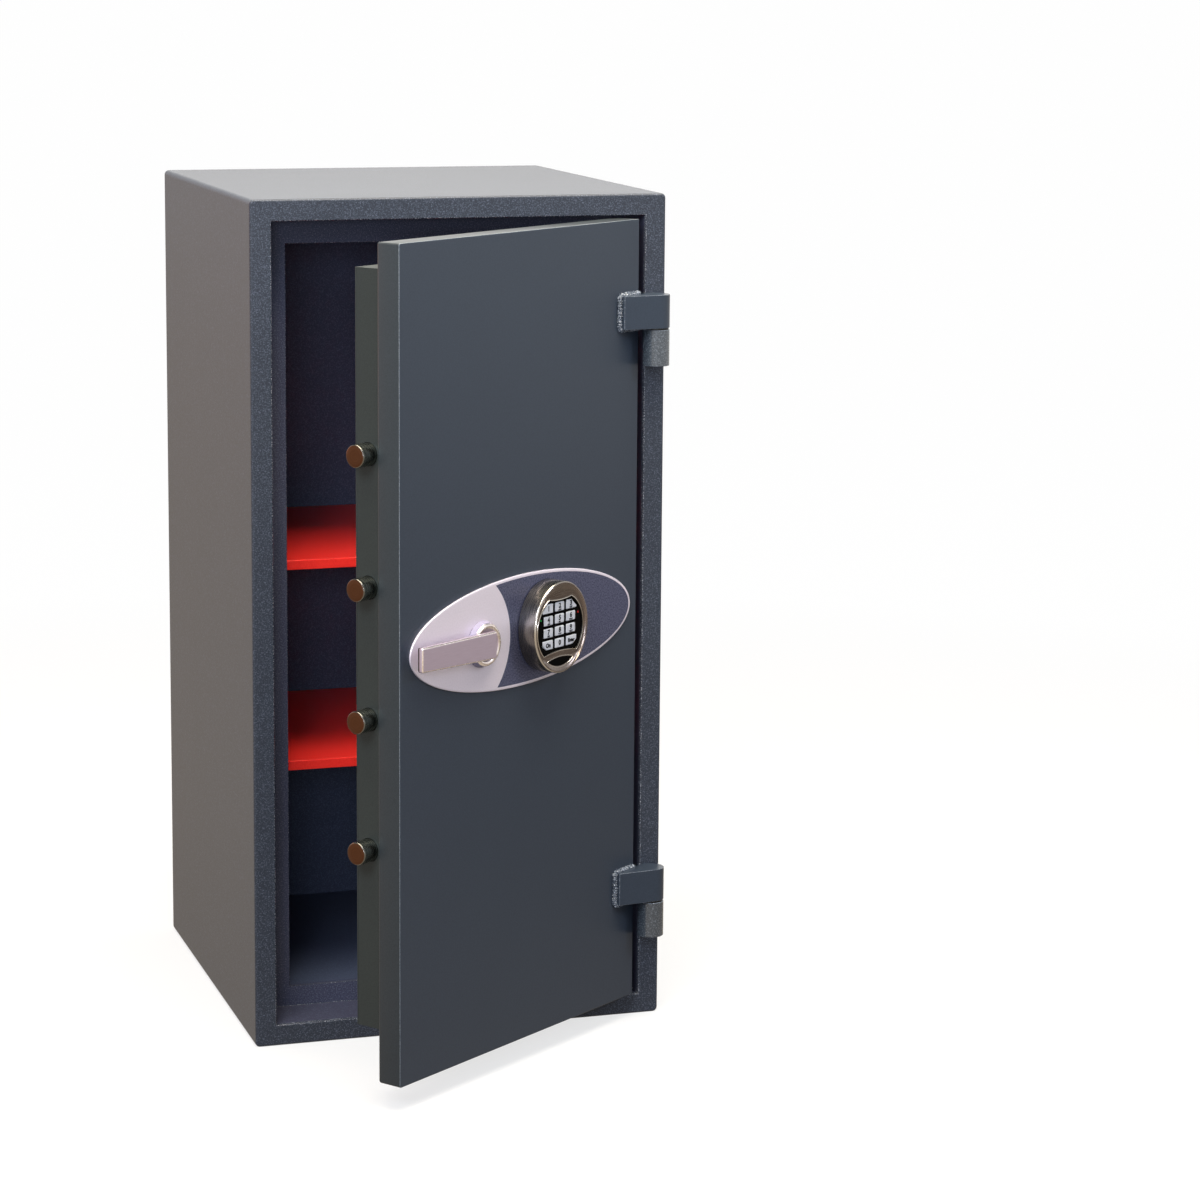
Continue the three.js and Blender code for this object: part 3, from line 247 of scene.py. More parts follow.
# Door plate: thick steel, ground on its face and edges and sprayed in a smooth satin slate. Its
# front edges are broken by 0.6 mm, and its back edges are rounder.
def ring(x0, x1, z0, z1, radius, steps=6):
    """A rectangle with round corners as a closed line of x and z: each corner's middle plus radius
    times cosine and sine of an angle that runs over its quarter turn."""
    turn = np.linspace(0, math.pi / 2, steps)
    corners = [(x1, z1, 0), (x0, z1, 1), (x0, z0, 2), (x1, z0, 3)]
    lines = []
    for x, z, quarter in corners:
        angle = turn + quarter * math.pi / 2
        inward_x = x - radius if quarter in (0, 3) else x + radius
        inward_z = z - radius if quarter in (0, 1) else z + radius
        lines.append(np.column_stack(
            [inward_x + radius * np.cos(angle), inward_z + radius * np.sin(angle)]))
    return np.concatenate(lines)


def skin(name, rings, closed=True, capped=True):
    """Faces between each ring of points and the next, from an array of rings by points by xyz in mm,
    as four-cornered faces on the grid, with one flat face over each end where it is capped."""
    rows, around, _ = rings.shape
    index = np.arange(rows * around).reshape(rows, around)
    last = around if closed else around - 1
    here = index[:-1, :last]
    beside = np.roll(index, -1, axis=1)[:-1, :last]
    above = index[1:, :last]
    corner = np.roll(index, -1, axis=1)[1:, :last]
    faces = np.stack([here, beside, corner, above], axis=-1).reshape(-1, 4).tolist()
    if capped:
        faces.append(index[0, ::-1].tolist())
        faces.append(index[-1].tolist())
    mesh = bpy.data.meshes.new(name)
    mesh.from_pydata((rings.reshape(-1, 3) / 1000).tolist(), [], faces)
    work = bmesh.new()
    work.from_mesh(mesh)
    bmesh.ops.recalc_face_normals(work, faces=work.faces)
    work.to_mesh(mesh)
    work.free()
    mesh.shade_smooth()
    mesh.set_sharp_from_angle(angle=smooth_below)
    obj = bpy.data.objects.new(name, mesh)
    bpy.context.scene.collection.objects.link(obj)
    return obj


def paint_bands(obj, around, bands, tip=0):
    """Materials by rows of faces, with this many faces around: each band runs from its first row up
    to its end row and shows its number in the object's list, and the last cap shows the tip's."""
    shown = np.zeros(len(obj.data.polygons), dtype=np.int32)
    for first, end, number in bands:
        shown[around * first:around * end] = number
    shown[-1] = tip
    obj.data.polygons.foreach_set("material_index", shown)


hinge_axis = (198.5, -234.5)
door_angle = math.radians(36)


def on_door(points):
    """Points of the shut door, in mm, turned by the door's angle about its hinge axis: the distances
    from that axis times cosine and sine of the angle, added to it again."""
    x = points[..., 0] - hinge_axis[0]
    y = points[..., 1] - hinge_axis[1]
    return np.stack([
        hinge_axis[0] + x * math.cos(door_angle) - y * math.sin(door_angle),
        hinge_axis[1] + x * math.sin(door_angle) + y * math.cos(door_angle),
        points[..., 2]], axis=-1)


def slab(x0, x1, y0, y1, z0, z1, corner, front, back):
    """Rings of a block whose corners, front edges and back edges are rounded by their own radii: each
    edge follows a quarter circle, and a ring just inside it keeps the flat face flat. Where a ring
    is inset, its corners' radius shrinks by a share of that, down to a least one."""
    turn = np.linspace(0, math.pi / 2, 5)
    margin = 0.8
    shrink, least = 0.6, 0.3
    inset = np.concatenate([
        [front + margin], front * (1 - np.sin(turn)), [0], back * (1 - np.cos(turn)), [back + margin]])
    depth = np.concatenate([
        [y0], y0 + front * (1 - np.cos(turn)), [(y0 + y1) / 2], y1 - back * (1 - np.sin(turn)), [y1]])
    rings = []
    for d, y in zip(inset, depth):
        line = ring(x0 + d, x1 - d, z0 + d, z1 - d, max(corner - d * shrink, least))
        rings.append(np.column_stack([line[:, 0], np.full(len(line), y), line[:, 1]]))
    return np.array(rings)


# The slate looks even and smooth on the face. Its rounded front edges show a pale copy of it, a
# painted highlight, and its sides a darker, greener copy, painted shade.
slate = powder_coat("slate satin powder coat", "#37404c", "#303844", 0.38, relief_mm=0.03)
slate_edge_highlight = powder_coat("slate powder coat, painted edge highlight", "#868d92", "#5d646a", 0.25, relief_mm=0.03)
slate_side_shade = powder_coat(
    "slate satin powder coat, painted shade on the sides", "#353b3f", "#2d3235", 0.38, relief_mm=0.03)
slab_rings = slab(
    x0=-188, x1=188, y0=-220, y1=-193, z0=24.5, z1=825.5, corner=2.0, front=0.6, back=2.6)
door_slab = skin("door_slab", on_door(slab_rings))
dress(door_slab, slate, slate_edge_highlight, slate_side_shade)
paint_bands(door_slab, slab_rings.shape[1], [(2, 5, 1), (5, 12, 2)])
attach(door_slab, "door")
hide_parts("door_plate")


# Boltwork box: a folded tray on the back of the door, closed by a cover plate that low round-headed
# screws hold. The bolts and the two fixed studs on the hinge side come out of it. Its satin coat
# looks darker and greener than the door.
box_coat = powder_coat(
    "satin powder coat on the boltwork", "#303634", "#272c2b", 0.45, relief_mm=0.04)
finished_copy("boltwork_box", "boltwork_tray", box_coat, 0.8)
finished_copy("boltwork_cover", "boltwork_lid", box_coat, 0.5)


def turned_metal(name, colour, shade, roughness, ring_mm=0.6):
    """Turned and polished metal: metallic, with faint marks that run round the piece every ring_mm
    along its own axis, which is the first direction of its UV map."""
    material, tree, surface = new_material(name)
    relief_mm = 0.008
    surface.inputs["Metallic"].default_value = 1.0
    place = add(tree, "ShaderNodeUVMap").outputs["UV"]
    stretch = add(tree, "ShaderNodeMapping", {"Vector": place, "Scale": (1.0, 0.02, 1.0)})
    marks = add(tree, "ShaderNodeTexNoise", {
        "Vector": stretch.outputs["Vector"], "Scale": 1 / ring_mm, "Detail": 3.0})
    colours = add(tree, "ShaderNodeMix", {
        "Factor": marks.outputs["Fac"], "A": linear(shade), "B": linear(colour)}, data_type="RGBA")
    tree.links.new(colours.outputs["Result"], surface.inputs["Base Color"])
    gloss = add(tree, "ShaderNodeMapRange", {
        "Value": marks.outputs["Fac"], "From Min": 0.3, "From Max": 0.7,
        "To Min": roughness - 0.06, "To Max": roughness + 0.06})
    tree.links.new(gloss.outputs["Result"], surface.inputs["Roughness"])
    relief = add(tree, "ShaderNodeBump", {
        "Height": marks.outputs["Fac"], "Distance": relief_mm / 1000, "Strength": 1.0})
    tree.links.new(relief.outputs["Normal"], surface.inputs["Normal"])
    return material


def give_uv(obj, along, round_it):
    """A UV map in mm from two values for each vertex."""
    loops = np.zeros(len(obj.data.loops), dtype=np.int32)
    obj.data.loops.foreach_get("vertex_index", loops)
    layer = obj.data.uv_layers.new(name="UVMap")
    pairs = np.column_stack([along.ravel(), round_it.ravel()])[loops]
    layer.data.foreach_set("uv", pairs.astype(np.float32).ravel())


def turned(profile, centre, axis, around):
    """A profile of (radius, distance) in mm, turned about a level axis through centre: centre plus
    axis times distance, plus radius times cosine and sine of the angle on the two directions across
    it. The rings come with the profile's length and the angle, as mm at radius 10, for a UV map."""
    uv_radius = 10
    axis = np.array(axis, float)
    upward = np.array([0.0, 0.0, 1.0])
    level = np.cross(upward, axis)
    profile = np.array(profile, float)
    angle = np.linspace(0, 2 * math.pi, around, endpoint=False)
    spoke = np.outer(np.cos(angle), level) + np.outer(np.sin(angle), upward)
    points = (np.array(centre, float) + profile[:, None, 1:] * axis
              + profile[:, :1, None] * spoke[None])
    length = np.concatenate([[0], np.cumsum(np.hypot(*np.diff(profile, axis=0).T))])
    along = np.repeat(length[:, None], around, 1)
    round_it = np.repeat(angle[None] * uv_radius, len(profile), 0)
    return points, along, round_it


# The screws are blackened and only show as small dark glints.
screw_steel = turned_metal("blackened screw steel", "#4a4b4c", "#38393a", 0.4)
screw_profile = [
    (0.5, 0.15), (1.6, 0.15), (1.75, 1.15), (2.4, 1.25), (3.2, 1.0), (3.9, 0.4), (4.1, -0.2)]
lid_face = -163.0
for row, height in enumerate((92, 262, 438, 614, 784), 1):
    for column, x in enumerate((-168, 168), 1):
        points, along, round_it = turned(screw_profile, (x, lid_face, height), (0, 1, 0), 32)
        screw = skin("cover_screw_%d_%d" % (row, column), on_door(points))
        give_uv(screw, along, round_it)
        dress(screw, screw_steel)
        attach(screw, "door")


# Locking bolts: 22 mm bright steel bar, turned, with a broken edge. Their ends pick up the warm
# brown of an oiled finish, and the sides stay dark and polished.
bolt_side = turned_metal("turned bolt steel", "#9ca198", "#5f635c", 0.26, 0.9)
bolt_end = turned_metal("oiled bolt end", "#5f3d29", "#4b3021", 0.36, 1.4)
bolt_edge = turned_metal("polished bolt edge", "#77726b", "#5d5953", 0.16, 0.9)
bolt_depth = -178
bolt_radius = 11
stud_radius = 10


def round_bolt(name, node, height, radius, root, tip, body):
    """One bolt from its root to its tip along the door: the profile of a bolt of 11 mm radius, with its
    broken edge and a dished end face, whose radii are scaled to the given one."""
    way = math.copysign(1, tip - root)
    reach = abs(tip - root)
    scale = radius / bolt_radius
    profile = [(10.4, 0), (11, 0.6), (11, reach - 1.1), (10.9, reach - 0.7), (10.5, reach - 0.2),
               (10.2, reach), (6.0, reach - 0.05), (2.5, reach - 0.08), (0.4, reach - 0.1)]
    profile = [(r * scale, d) for r, d in profile]
    points, along, round_it = turned(profile, (root, bolt_depth, height), (way, 0, 0), 56)
    bolt = skin(name, on_door(points))
    give_uv(bolt, along, round_it)
    dress(bolt, bolt_side, bolt_edge, bolt_end)
    paint_bands(bolt, points.shape[1], [(3, 5, 1), (5, 8, 2)], tip=2)
    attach(bolt, body)
    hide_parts(node)


for number, height in enumerate((627, 501, 375, 249), 1):
    round_bolt(
        "bolt_%d" % number, "locking_bolt_%d" % number, height, bolt_radius, -142, -202, "boltwork")
for place, height in (("upper", 564), ("lower", 312)):
    round_bolt("stud_" + place, "fixed_bolt_" + place, height, stud_radius, 175.7, 199, "door")


# Hinges: forged leaves welded flat to the door, ground to a slope that runs off the round barrel,
# over knuckles welded to the frame. All are painted in the door's slate, weld and all, with a gloss
# on the knuckles. Their edges show a paler copy with bright glints, a painted highlight, and the
# knuckles a little paler copy with painted glints.
hinge_coat = powder_coat("slate powder coat on forgings", "#363f4b", "#303843", 0.34, relief_mm=0.03)
knuckle_coat = powder_coat(
    "slate powder coat on the knuckles", "#424a51", "#333a42", 0.17,
    relief_mm=0.04, glint="#6e767f", level=1.0)
hinge_edge_highlight = powder_coat(
    "slate powder coat, painted highlight on forged edges", "#6a727b", "#4a515b", 0.25, glint="#a9afb8")
oiled_steel = flaked_metal("oiled washer steel", "#3a3a38", "#2a2a29", 0.4, 2.0)
pin_steel = flaked_metal("ground pin steel", "#a9a8a2", "#97968f", 0.28, 2.0)
for place in ("upper", "lower"):
    finished_copy(
        "hinge_leaf_" + place, "leaf_" + place, hinge_coat, 1.0, 3, edge=hinge_edge_highlight)
    finished_copy(
        "hinge_knuckle_" + place, "knuckle_" + place, knuckle_coat, 1.3, 3,
        edge=hinge_edge_highlight)
    dress(frame["nodes"]["hinge_washer_" + place], oiled_steel)
    dress(frame["nodes"]["hinge_pin_" + place], pin_steel)


def weld_bead(path, seed):
    """Rings of a bead along a line of points in mm: circles whose radius swells by a sine every
    2.6 mm, as the weld was laid, plus a small uneven part, and shrinks to a half at both ends, with
    their centres wandering by a few tenths."""
    radius = 2.5
    ripple = 2.6
    rings_per_mm = 3
    length = np.concatenate([[0], np.cumsum(np.linalg.norm(np.diff(path, axis=0), axis=1))])
    here = np.linspace(0, length[-1], int(length[-1] * rings_per_mm))
    line = np.column_stack([np.interp(here, length, path[:, i]) for i in range(3)])
    chance = np.random.default_rng(seed)
    uneven = 0.1 * chance.standard_normal(len(here))
    swell = radius * (1 + 0.16 * np.sin(here * 2 * math.pi / ripple) + uneven)
    swell *= np.clip(np.minimum(here, length[-1] - here) / radius + 0.25, 0, 1) ** 0.5
    ahead = np.gradient(line, axis=0)
    ahead /= np.linalg.norm(ahead, axis=1)[:, None]
    side = np.cross(ahead, [0.0, 1.0, 0.0])
    side /= np.linalg.norm(side, axis=1)[:, None]
    out = np.cross(side, ahead)
    line += side * 0.35 * chance.standard_normal((len(here), 1))
    angle = np.linspace(0, 2 * math.pi, 14, endpoint=False)
    lumps = 1 + 0.07 * chance.standard_normal((len(here), len(angle)))
    spoke = np.cos(angle)[None, :, None] * side[:, None] + np.sin(angle)[None, :, None] * out[:, None]
    return line[:, None] + (swell[:, None] * lumps)[..., None] * spoke


# The coat lies on the bead with its lumps. A much paler copy of the slate with bright glints paints
# the highlights along every ripple.
weld_coat_highlight = powder_coat(
    "slate powder coat on weld, painted highlights", "#7d858f", "#39404a", 0.2, relief_mm=0.35, glint="#e2e6ea")
weld_depth = -221.2
leaf_height = 33.5
leaf_end = 155.5
for place, foot, seed in (("upper", 717.0, 11), ("lower", 126.5, 23)):
    top = foot + leaf_height
    path = [(188, top + 0.4), (172, top + 0.4), (leaf_end + 1.5, top + 0.2), (leaf_end - 1.0, top - 1.5),
            (leaf_end - 1.2, foot + 1.5), (leaf_end + 1.0, foot - 0.2), (172, foot - 0.4),
            (188, foot - 0.4)]
    line = on_door(np.array([(x, weld_depth, z) for x, z in path]))
    bead = skin("leaf_weld_" + place, weld_bead(line, seed))
    dress(bead, weld_coat_highlight)
    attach(bead, "door")


# Oval plate: a pressed plate behind lever and keypad, silkscreened in silver with a navy field and
# a thin silver border. It is bonded to the door, and its edge is rolled under.
def oval_film():
    """Printed metallic lacquer, IOR 1.5: silver lavender left of an arc of 70 mm radius and in a 3 mm
    border, navy elsewhere, both with flakes drawn at 1.6 mm, coarser than they are, to show. A point
    lies within the border where its x and z, each over its half axis, have a length below 1."""
    material, tree, surface = new_material("screen printed lacquer")
    half_width, half_height = 172.0, 52.0
    arc_middle = (-93.0, -1.5, 0.0)
    arc_radius = 69.7
    flake_mm = 1.6
    surface.inputs["IOR"].default_value = 1.5
    surface.inputs["Roughness"].default_value = 0.4
    surface.inputs["Metallic"].default_value = 0.45
    place = add(tree, "ShaderNodeUVMap").outputs["UV"]
    parts = add(tree, "ShaderNodeSeparateXYZ", {"Vector": place})
    across = add(tree, "ShaderNodeMath", {
        0: parts.outputs["X"], 1: 1 / half_width}, operation="MULTIPLY")
    upward = add(tree, "ShaderNodeMath", {
        0: parts.outputs["Y"], 1: 1 / half_height}, operation="MULTIPLY")
    reach = add(tree, "ShaderNodeCombineXYZ", {"X": across.outputs[0], "Y": upward.outputs[0]})
    oval = add(tree, "ShaderNodeVectorMath", {0: reach.outputs["Vector"]}, operation="LENGTH")
    within = add(tree, "ShaderNodeMath", {0: oval.outputs["Value"], 1: 1.0}, operation="LESS_THAN")
    flat = add(tree, "ShaderNodeCombineXYZ", {"X": parts.outputs["X"], "Y": parts.outputs["Y"]})
    arc = add(tree, "ShaderNodeVectorMath", {
        0: flat.outputs["Vector"], 1: arc_middle}, operation="DISTANCE")
    outside = add(tree, "ShaderNodeMath", {
        0: arc.outputs["Value"], 1: arc_radius}, operation="GREATER_THAN")
    right = add(tree, "ShaderNodeMath", {
        0: parts.outputs["X"], 1: arc_middle[0]}, operation="GREATER_THAN")
    beyond = add(tree, "ShaderNodeMath", {
        0: outside.outputs[0], 1: right.outputs[0]}, operation="MULTIPLY")
    field = add(tree, "ShaderNodeMath", {
        0: beyond.outputs[0], 1: within.outputs[0]}, operation="MULTIPLY")
    flake = add(tree, "ShaderNodeTexNoise", {"Vector": place, "Scale": 1 / flake_mm, "Detail": 2.0})
    specks = add(tree, "ShaderNodeMapRange", {
        "Value": flake.outputs["Fac"], "From Min": 0.35, "From Max": 0.65})
    silver = add(tree, "ShaderNodeMix", {
        "Factor": flake.outputs["Fac"], "A": linear("#e2d8e3"), "B": linear("#f2eaf4")}, data_type="RGBA")
    navy = add(tree, "ShaderNodeMix", {
        "Factor": specks.outputs["Result"], "A": linear("#383b55"), "B": linear("#61647f")},
        data_type="RGBA")
    printed = add(tree, "ShaderNodeMix", {
        "Factor": field.outputs[0], "A": silver.outputs["Result"], "B": navy.outputs["Result"]},
        data_type="RGBA")
    tree.links.new(printed.outputs["Result"], surface.inputs["Base Color"])
    return material


def oval_rings(half_width, half_height, steps, around):
    """Rings of an ellipse of half axes a and b: for each step (inset, y) the points at every angle t
    are ((a - inset) cos t, y, (b - inset) sin t)."""
    angle = np.linspace(0, 2 * math.pi, around, endpoint=False)
    inset = np.array([s[0] for s in steps], float)[:, None]
    depth = np.array([s[1] for s in steps], float)[:, None]
    return np.stack([
        (half_width - inset) * np.cos(angle), depth + 0 * angle, (half_height - inset) * np.sin(angle)],
        axis=-1)


plate_height = 438
rolled_edge = [(0.4, -220.1), (0.0, -220.6), (0.0, -221.6), (0.3, -222.1), (0.9, -222.3), (2.0, -222.3)]
points = oval_rings(175, 55, rolled_edge, 160)
oval_badge = skin("oval_backplate", on_door(points + [0, 0, plate_height]))
give_uv(oval_badge, points[..., 0], points[..., 2])
dress(oval_badge, oval_film())
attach(oval_badge, "door")
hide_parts("oval_plate")


# Lever set: a rosette and a flat lever, die cast in zinc alloy and finished in a satin lavender
# lacquer, with borders that are polished bright. A neck joins the lever to its steel spindle, which
# turns in a brass bushing.
def moulded_finish(name, colour, roughness, grain_mm=0.6, level=0.5):
    """An even moulded or poured surface, such as ABS, rubber, lacquer or ink, IOR 1.54: one colour,
    with a fine grain of grain_mm in its gloss and relief."""
    material, tree, surface = new_material(name)
    relief_mm = 0.01
    surface.inputs["Base Color"].default_value = linear(colour)
    surface.inputs["IOR"].default_value = 1.54
    surface.inputs["Specular IOR Level"].default_value = level
    place = add(tree, "ShaderNodeTexCoord").outputs["Object"]
    grain = add(tree, "ShaderNodeTexNoise", {"Vector": place, "Scale": 1000 / grain_mm, "Detail": 2.0})
    gloss = add(tree, "ShaderNodeMapRange", {
        "Value": grain.outputs["Fac"], "To Min": roughness * 0.7, "To Max": roughness * 1.3})
    tree.links.new(gloss.outputs["Result"], surface.inputs["Roughness"])
    relief = add(tree, "ShaderNodeBump", {"Height": grain.outputs["Fac"], "Distance": relief_mm / 1000})
    tree.links.new(relief.outputs["Normal"], surface.inputs["Normal"])
    return material


def satin_casting():
    """Lacquered zinc casting: half metallic, with brush lines of 0.5 mm along the lever, which is the
    first UV direction."""
    material, tree, surface = new_material("lacquered zinc casting")
    line_mm = 0.5
    surface.inputs["Metallic"].default_value = 0.55
    surface.inputs["Coat Weight"].default_value = 0.3
    surface.inputs["Coat Roughness"].default_value = 0.15
    place = add(tree, "ShaderNodeUVMap").outputs["UV"]
    stretch = add(tree, "ShaderNodeMapping", {"Vector": place, "Scale": (0.03, 1.0, 1.0)})
    brush = add(tree, "ShaderNodeTexNoise", {
        "Vector": stretch.outputs["Vector"], "Scale": 1 / line_mm, "Detail": 3.0})
    colours = add(tree, "ShaderNodeMix", {
        "Factor": brush.outputs["Fac"], "A": linear("#b19eac"), "B": linear("#cabac7")}, data_type="RGBA")
    tree.links.new(colours.outputs["Result"], surface.inputs["Base Color"])
    gloss = add(tree, "ShaderNodeMapRange", {
        "Value": brush.outputs["Fac"], "To Min": 0.26, "To Max": 0.42})
    tree.links.new(gloss.outputs["Result"], surface.inputs["Roughness"])
    return material


casting = satin_casting()
bright_edge = flaked_metal("polished casting edge", "#f4ebe4", "#e2d6d2", 0.24, 3.0)
# The rosette's foot shows a darker, matt lavender copy of the casting: painted shade.
foot_painted_shade = moulded_finish("lavender casting in painted shade on the foot", "#9a93a8", 0.5, level=0.2)
shaded_edge = flaked_metal("casting side in the lever's shade", "#7d6b66", "#6b5a56", 0.35, 3.0)
spindle = (-68, -222.6, 434.5)
rosette_profile = [
    (7.2, 0), (22.4, 0), (22.8, 0.4), (22.6, 1.2), (21.6, 4.0), (20.8, 6.4), (20.2, 7.4), (19.0, 8.0),
    (17.4, 8.0), (16.2, 7.4), (15.0, 6.4), (13.0, 6.1), (10.5, 6.0), (9.0, 6.4), (8.6, 7.2), (8.4, 8.9),
    (7.2, 8.9)]
points, along, round_it = turned(rosette_profile, spindle, (0, -1, 0), 72)
rosette = skin("lever_rosette", on_door(points))
give_uv(rosette, along, round_it)
dress(rosette, casting, bright_edge, foot_painted_shade)
paint_bands(rosette, points.shape[1], [(1, 5, 2), (5, 9, 1), (13, 15, 1)])
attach(rosette, "door")
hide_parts("handle_rosette")

# The lever grows from its tip to its root, while its middle drops by 3 mm.
lever_tip, lever_root = -175.5, -62.5
tip_half, root_half = 11.8, 13.5
tip_height, drop = 437.5, 3.0
blank_half = 12
corner_radius, least_radius = 1.7, 0.3
lever_steps = [
    (1.9, -237.3), (1.4, -237.3), (1.1, -237.2), (0.4, -236.7), (0.1, -236.2), (0.0, -235.6),
    (0.0, -233.4), (0.0, -232.6), (0.4, -231.6), (1.0, -231.3)]
rings = []
for inset, y in lever_steps:
    line = ring(
        lever_tip + inset, lever_root - inset, -blank_half + inset, blank_half - inset,
        max(corner_radius - inset, least_radius), 7)
    share = (line[:, 0] - lever_tip) / (lever_root - lever_tip)
    half = tip_half + (root_half - tip_half) * share
    height = tip_height - drop * share + line[:, 1] * half / blank_half
    rings.append(np.column_stack([line[:, 0], np.full(len(line), y), height]))
points = np.array(rings)
lever = skin("lever_bar", on_door(points))
give_uv(lever, points[..., 0], points[..., 2])
dress(lever, casting, bright_edge, shaded_edge)
paint_bands(lever, points.shape[1], [(1, 4, 1), (6, 9, 2)])
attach(lever, "handle")
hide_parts("lever_handle")

brass = flaked_metal("turned brass", "#c9a25c", "#b58e4a", 0.3, 3.0)
for node in ("handle_spindle", "drive_cam"):
    dress(frame["nodes"][node], pin_steel)
for node in ("spindle_bushing", "lock_bolt"):
    dress(frame["nodes"][node], brass)


# Keypad drum: a zinc casting, turned and plated in brushed nickel, with a dished face that runs down
# to the panel. Its side shows brush lines every half millimetre, and its rim is polished bright.
# Screws from behind hold it to the door.
def arc_through(start, middle, end, steps=24):
    """Points of the circle through three points, whose centre is equally far from all of them."""
    a, b, c = (np.array(point, float) for point in (start, middle, end))
    centre = np.linalg.solve(2 * np.array([b - a, c - a]), [b @ b - a @ a, c @ c - a @ a])
    ways = np.array([a, b, c]) - centre
    turn = np.unwrap(np.arctan2(ways[:, 1], ways[:, 0]))
    angle = np.linspace(turn[0], turn[2], steps)
    return centre + np.linalg.norm(ways[0]) * np.column_stack([np.cos(angle), np.sin(angle)])


def panel_edge(angle):
    """Distance from the middle to the panel's edge at each angle, from its top, side and foot arcs."""
    top, foot, side = (17.5, 28.4), (26.0, -25.8), 36.4
    line = np.concatenate([
        arc_through(top, (0.0, 26.8), (-top[0], top[1])),
        arc_through((-top[0], top[1]), (-side, 0.0), (-foot[0], foot[1])),
        arc_through((-foot[0], foot[1]), (0.0, -22.8), foot),
        arc_through(foot, (side, 0.0), top)])
    turn = np.mod(np.arctan2(line[:, 1], line[:, 0]), 2 * math.pi)
    order = np.argsort(turn)
    return np.interp(angle, turn[order], np.hypot(*line.T)[order], period=2 * math.pi)


nickel = turned_metal("brushed nickel plating", "#928e86", "#66625b", 0.26, 0.5)
rim = turned_metal("polished nickel rim", "#cac4bb", "#aea69c", 0.18, 0.5)
# The dish shows a slightly darker, browner copy of the nickel: a painted warm reflection.
dish = turned_metal("nickel dish, painted warm reflection", "#8c8079", "#6a605b", 0.26, 0.5)
keypad_x = 31.5
half_width, half_height, middle_radius = 43, 45.5, 44
drum_face = -244
dish_depth = 2.5
around = 192
angle = np.linspace(0, 2 * math.pi, around, endpoint=False)
edge = panel_edge(angle)


def along_panel(out, y):
    """A ring at the depth y that runs round the panel at out mm from its edge: the edge's distance
    plus out, times cosine and sine of the angle."""
    reach = edge + out
    return np.column_stack([reach * np.cos(angle), np.full(around, y), reach * np.sin(angle)])


side_steps = [
    (0.6, -222.6), (0.0, -223.2), (0.0, -241.4), (0.1, -242.4), (0.5, -243.3), (1.2, -243.9),
    (2.0, drum_face)]
bezel = oval_rings(half_width, half_height, side_steps, around)

# The dish sinks by its depth times 1 minus (1 - share of the way in) to a power, which grows from 2
# at the top to 8 at the foot. So it is shallow above the keys and steep below them.
inner = along_panel(1.3, 0.0)
bowl = []
for share in np.linspace(0.05, 1, 12):
    line = bezel[-1] * (1 - share) + inner * share
    line[:, 1] = drum_face + dish_depth * (1 - (1 - share) ** (5 - 3 * np.sin(angle)))
    bowl.append(line)
lip_steps = [(1.1, -242.0), (0.8, -242.25), (0.4, -242.3), (0.1, -242.1), (0.0, -241.6), (0.0, -235.85)]
for out, y in lip_steps:
    bowl.append(along_panel(out, y))
points = np.concatenate([bezel, np.array(bowl)])
length = np.concatenate([[0], np.cumsum(np.linalg.norm(np.diff(points[:, 0], axis=0), axis=1))])
drum = skin("keypad_drum", on_door(points + [keypad_x, 0, plate_height]))
along = np.repeat(length[:, None], around, 1)
round_it = np.repeat(angle[None] * middle_radius, len(points), 0)
give_uv(drum, along, round_it)
dress(drum, nickel, rim, dish)
paint_bands(drum, around, [(3, 5, 1), (5, 18, 2), (18, 23, 1)])
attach(drum, "door")
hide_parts("keypad_housing")


# Battery hatch: a bright plated border, pressed into the drum's face, stands round the black lens
# that closes the battery's hatch. It is a closed ring: each point of the lens's outline, plus its
# outward direction times a distance, which swings with the depth round a small oval.
left_corner, right_corner = (-20.5, -32.2), (20.5, -32.2)
lens = np.concatenate([
    arc_through(left_corner, (0.0, -39.2), right_corner, 41)[:-1],
    arc_through(right_corner, (0.0, -29.4), left_corner, 41)[:-1]])
forward = np.roll(lens, -1, axis=0) - np.roll(lens, 1, axis=0)
forward /= np.linalg.norm(forward, axis=1)[:, None]
outward = np.column_stack([forward[:, 1], -forward[:, 0]])
border_depth = -241.5
middle_out, half_wide, half_deep = 0.45, 0.5, 0.75
turn = np.linspace(0, 2 * math.pi, 12, endpoint=False)
away = middle_out + half_wide * np.cos(turn)
rings = np.stack([
    keypad_x + lens[:, :1] + outward[:, :1] * away,
    border_depth - half_deep * np.sin(turn) + 0 * lens[:, :1],
    plate_height + lens[:, 1:] + outward[:, 1:] * away], axis=-1)
border = skin("hatch_border", on_door(np.concatenate([rings, rings[:1]])), capped=False)
weld = bmesh.new()
weld.from_mesh(border.data)
bmesh.ops.remove_doubles(weld, verts=weld.verts, dist=1e-6)
weld.to_mesh(border.data)
weld.free()
along = np.arange(len(border.data.vertices)) * 0.1
give_uv(border, along, along)
dress(border, rim)
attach(border, "door")


# Black mouldings: the keypad's panel and the hatch's lens are gloss black ABS, which stays deep black
# under the lamps. The lock's cable and the anchor's plug are polyethylene, a dull dark grey.
gloss_black = moulded_finish("gloss black ABS", "#020203", 0.25, level=0.03)
plain_black = moulded_finish("black polyethylene", "#1c1c1d", 0.5)
finished_copy("battery_cover", "hatch_lens", gloss_black, 0.5, 3)
dress(frame["nodes"]["keypad_panel"], gloss_black)
for node in ("lock_cable", "anchor_plug"):
    dress(frame["nodes"][node], plain_black)


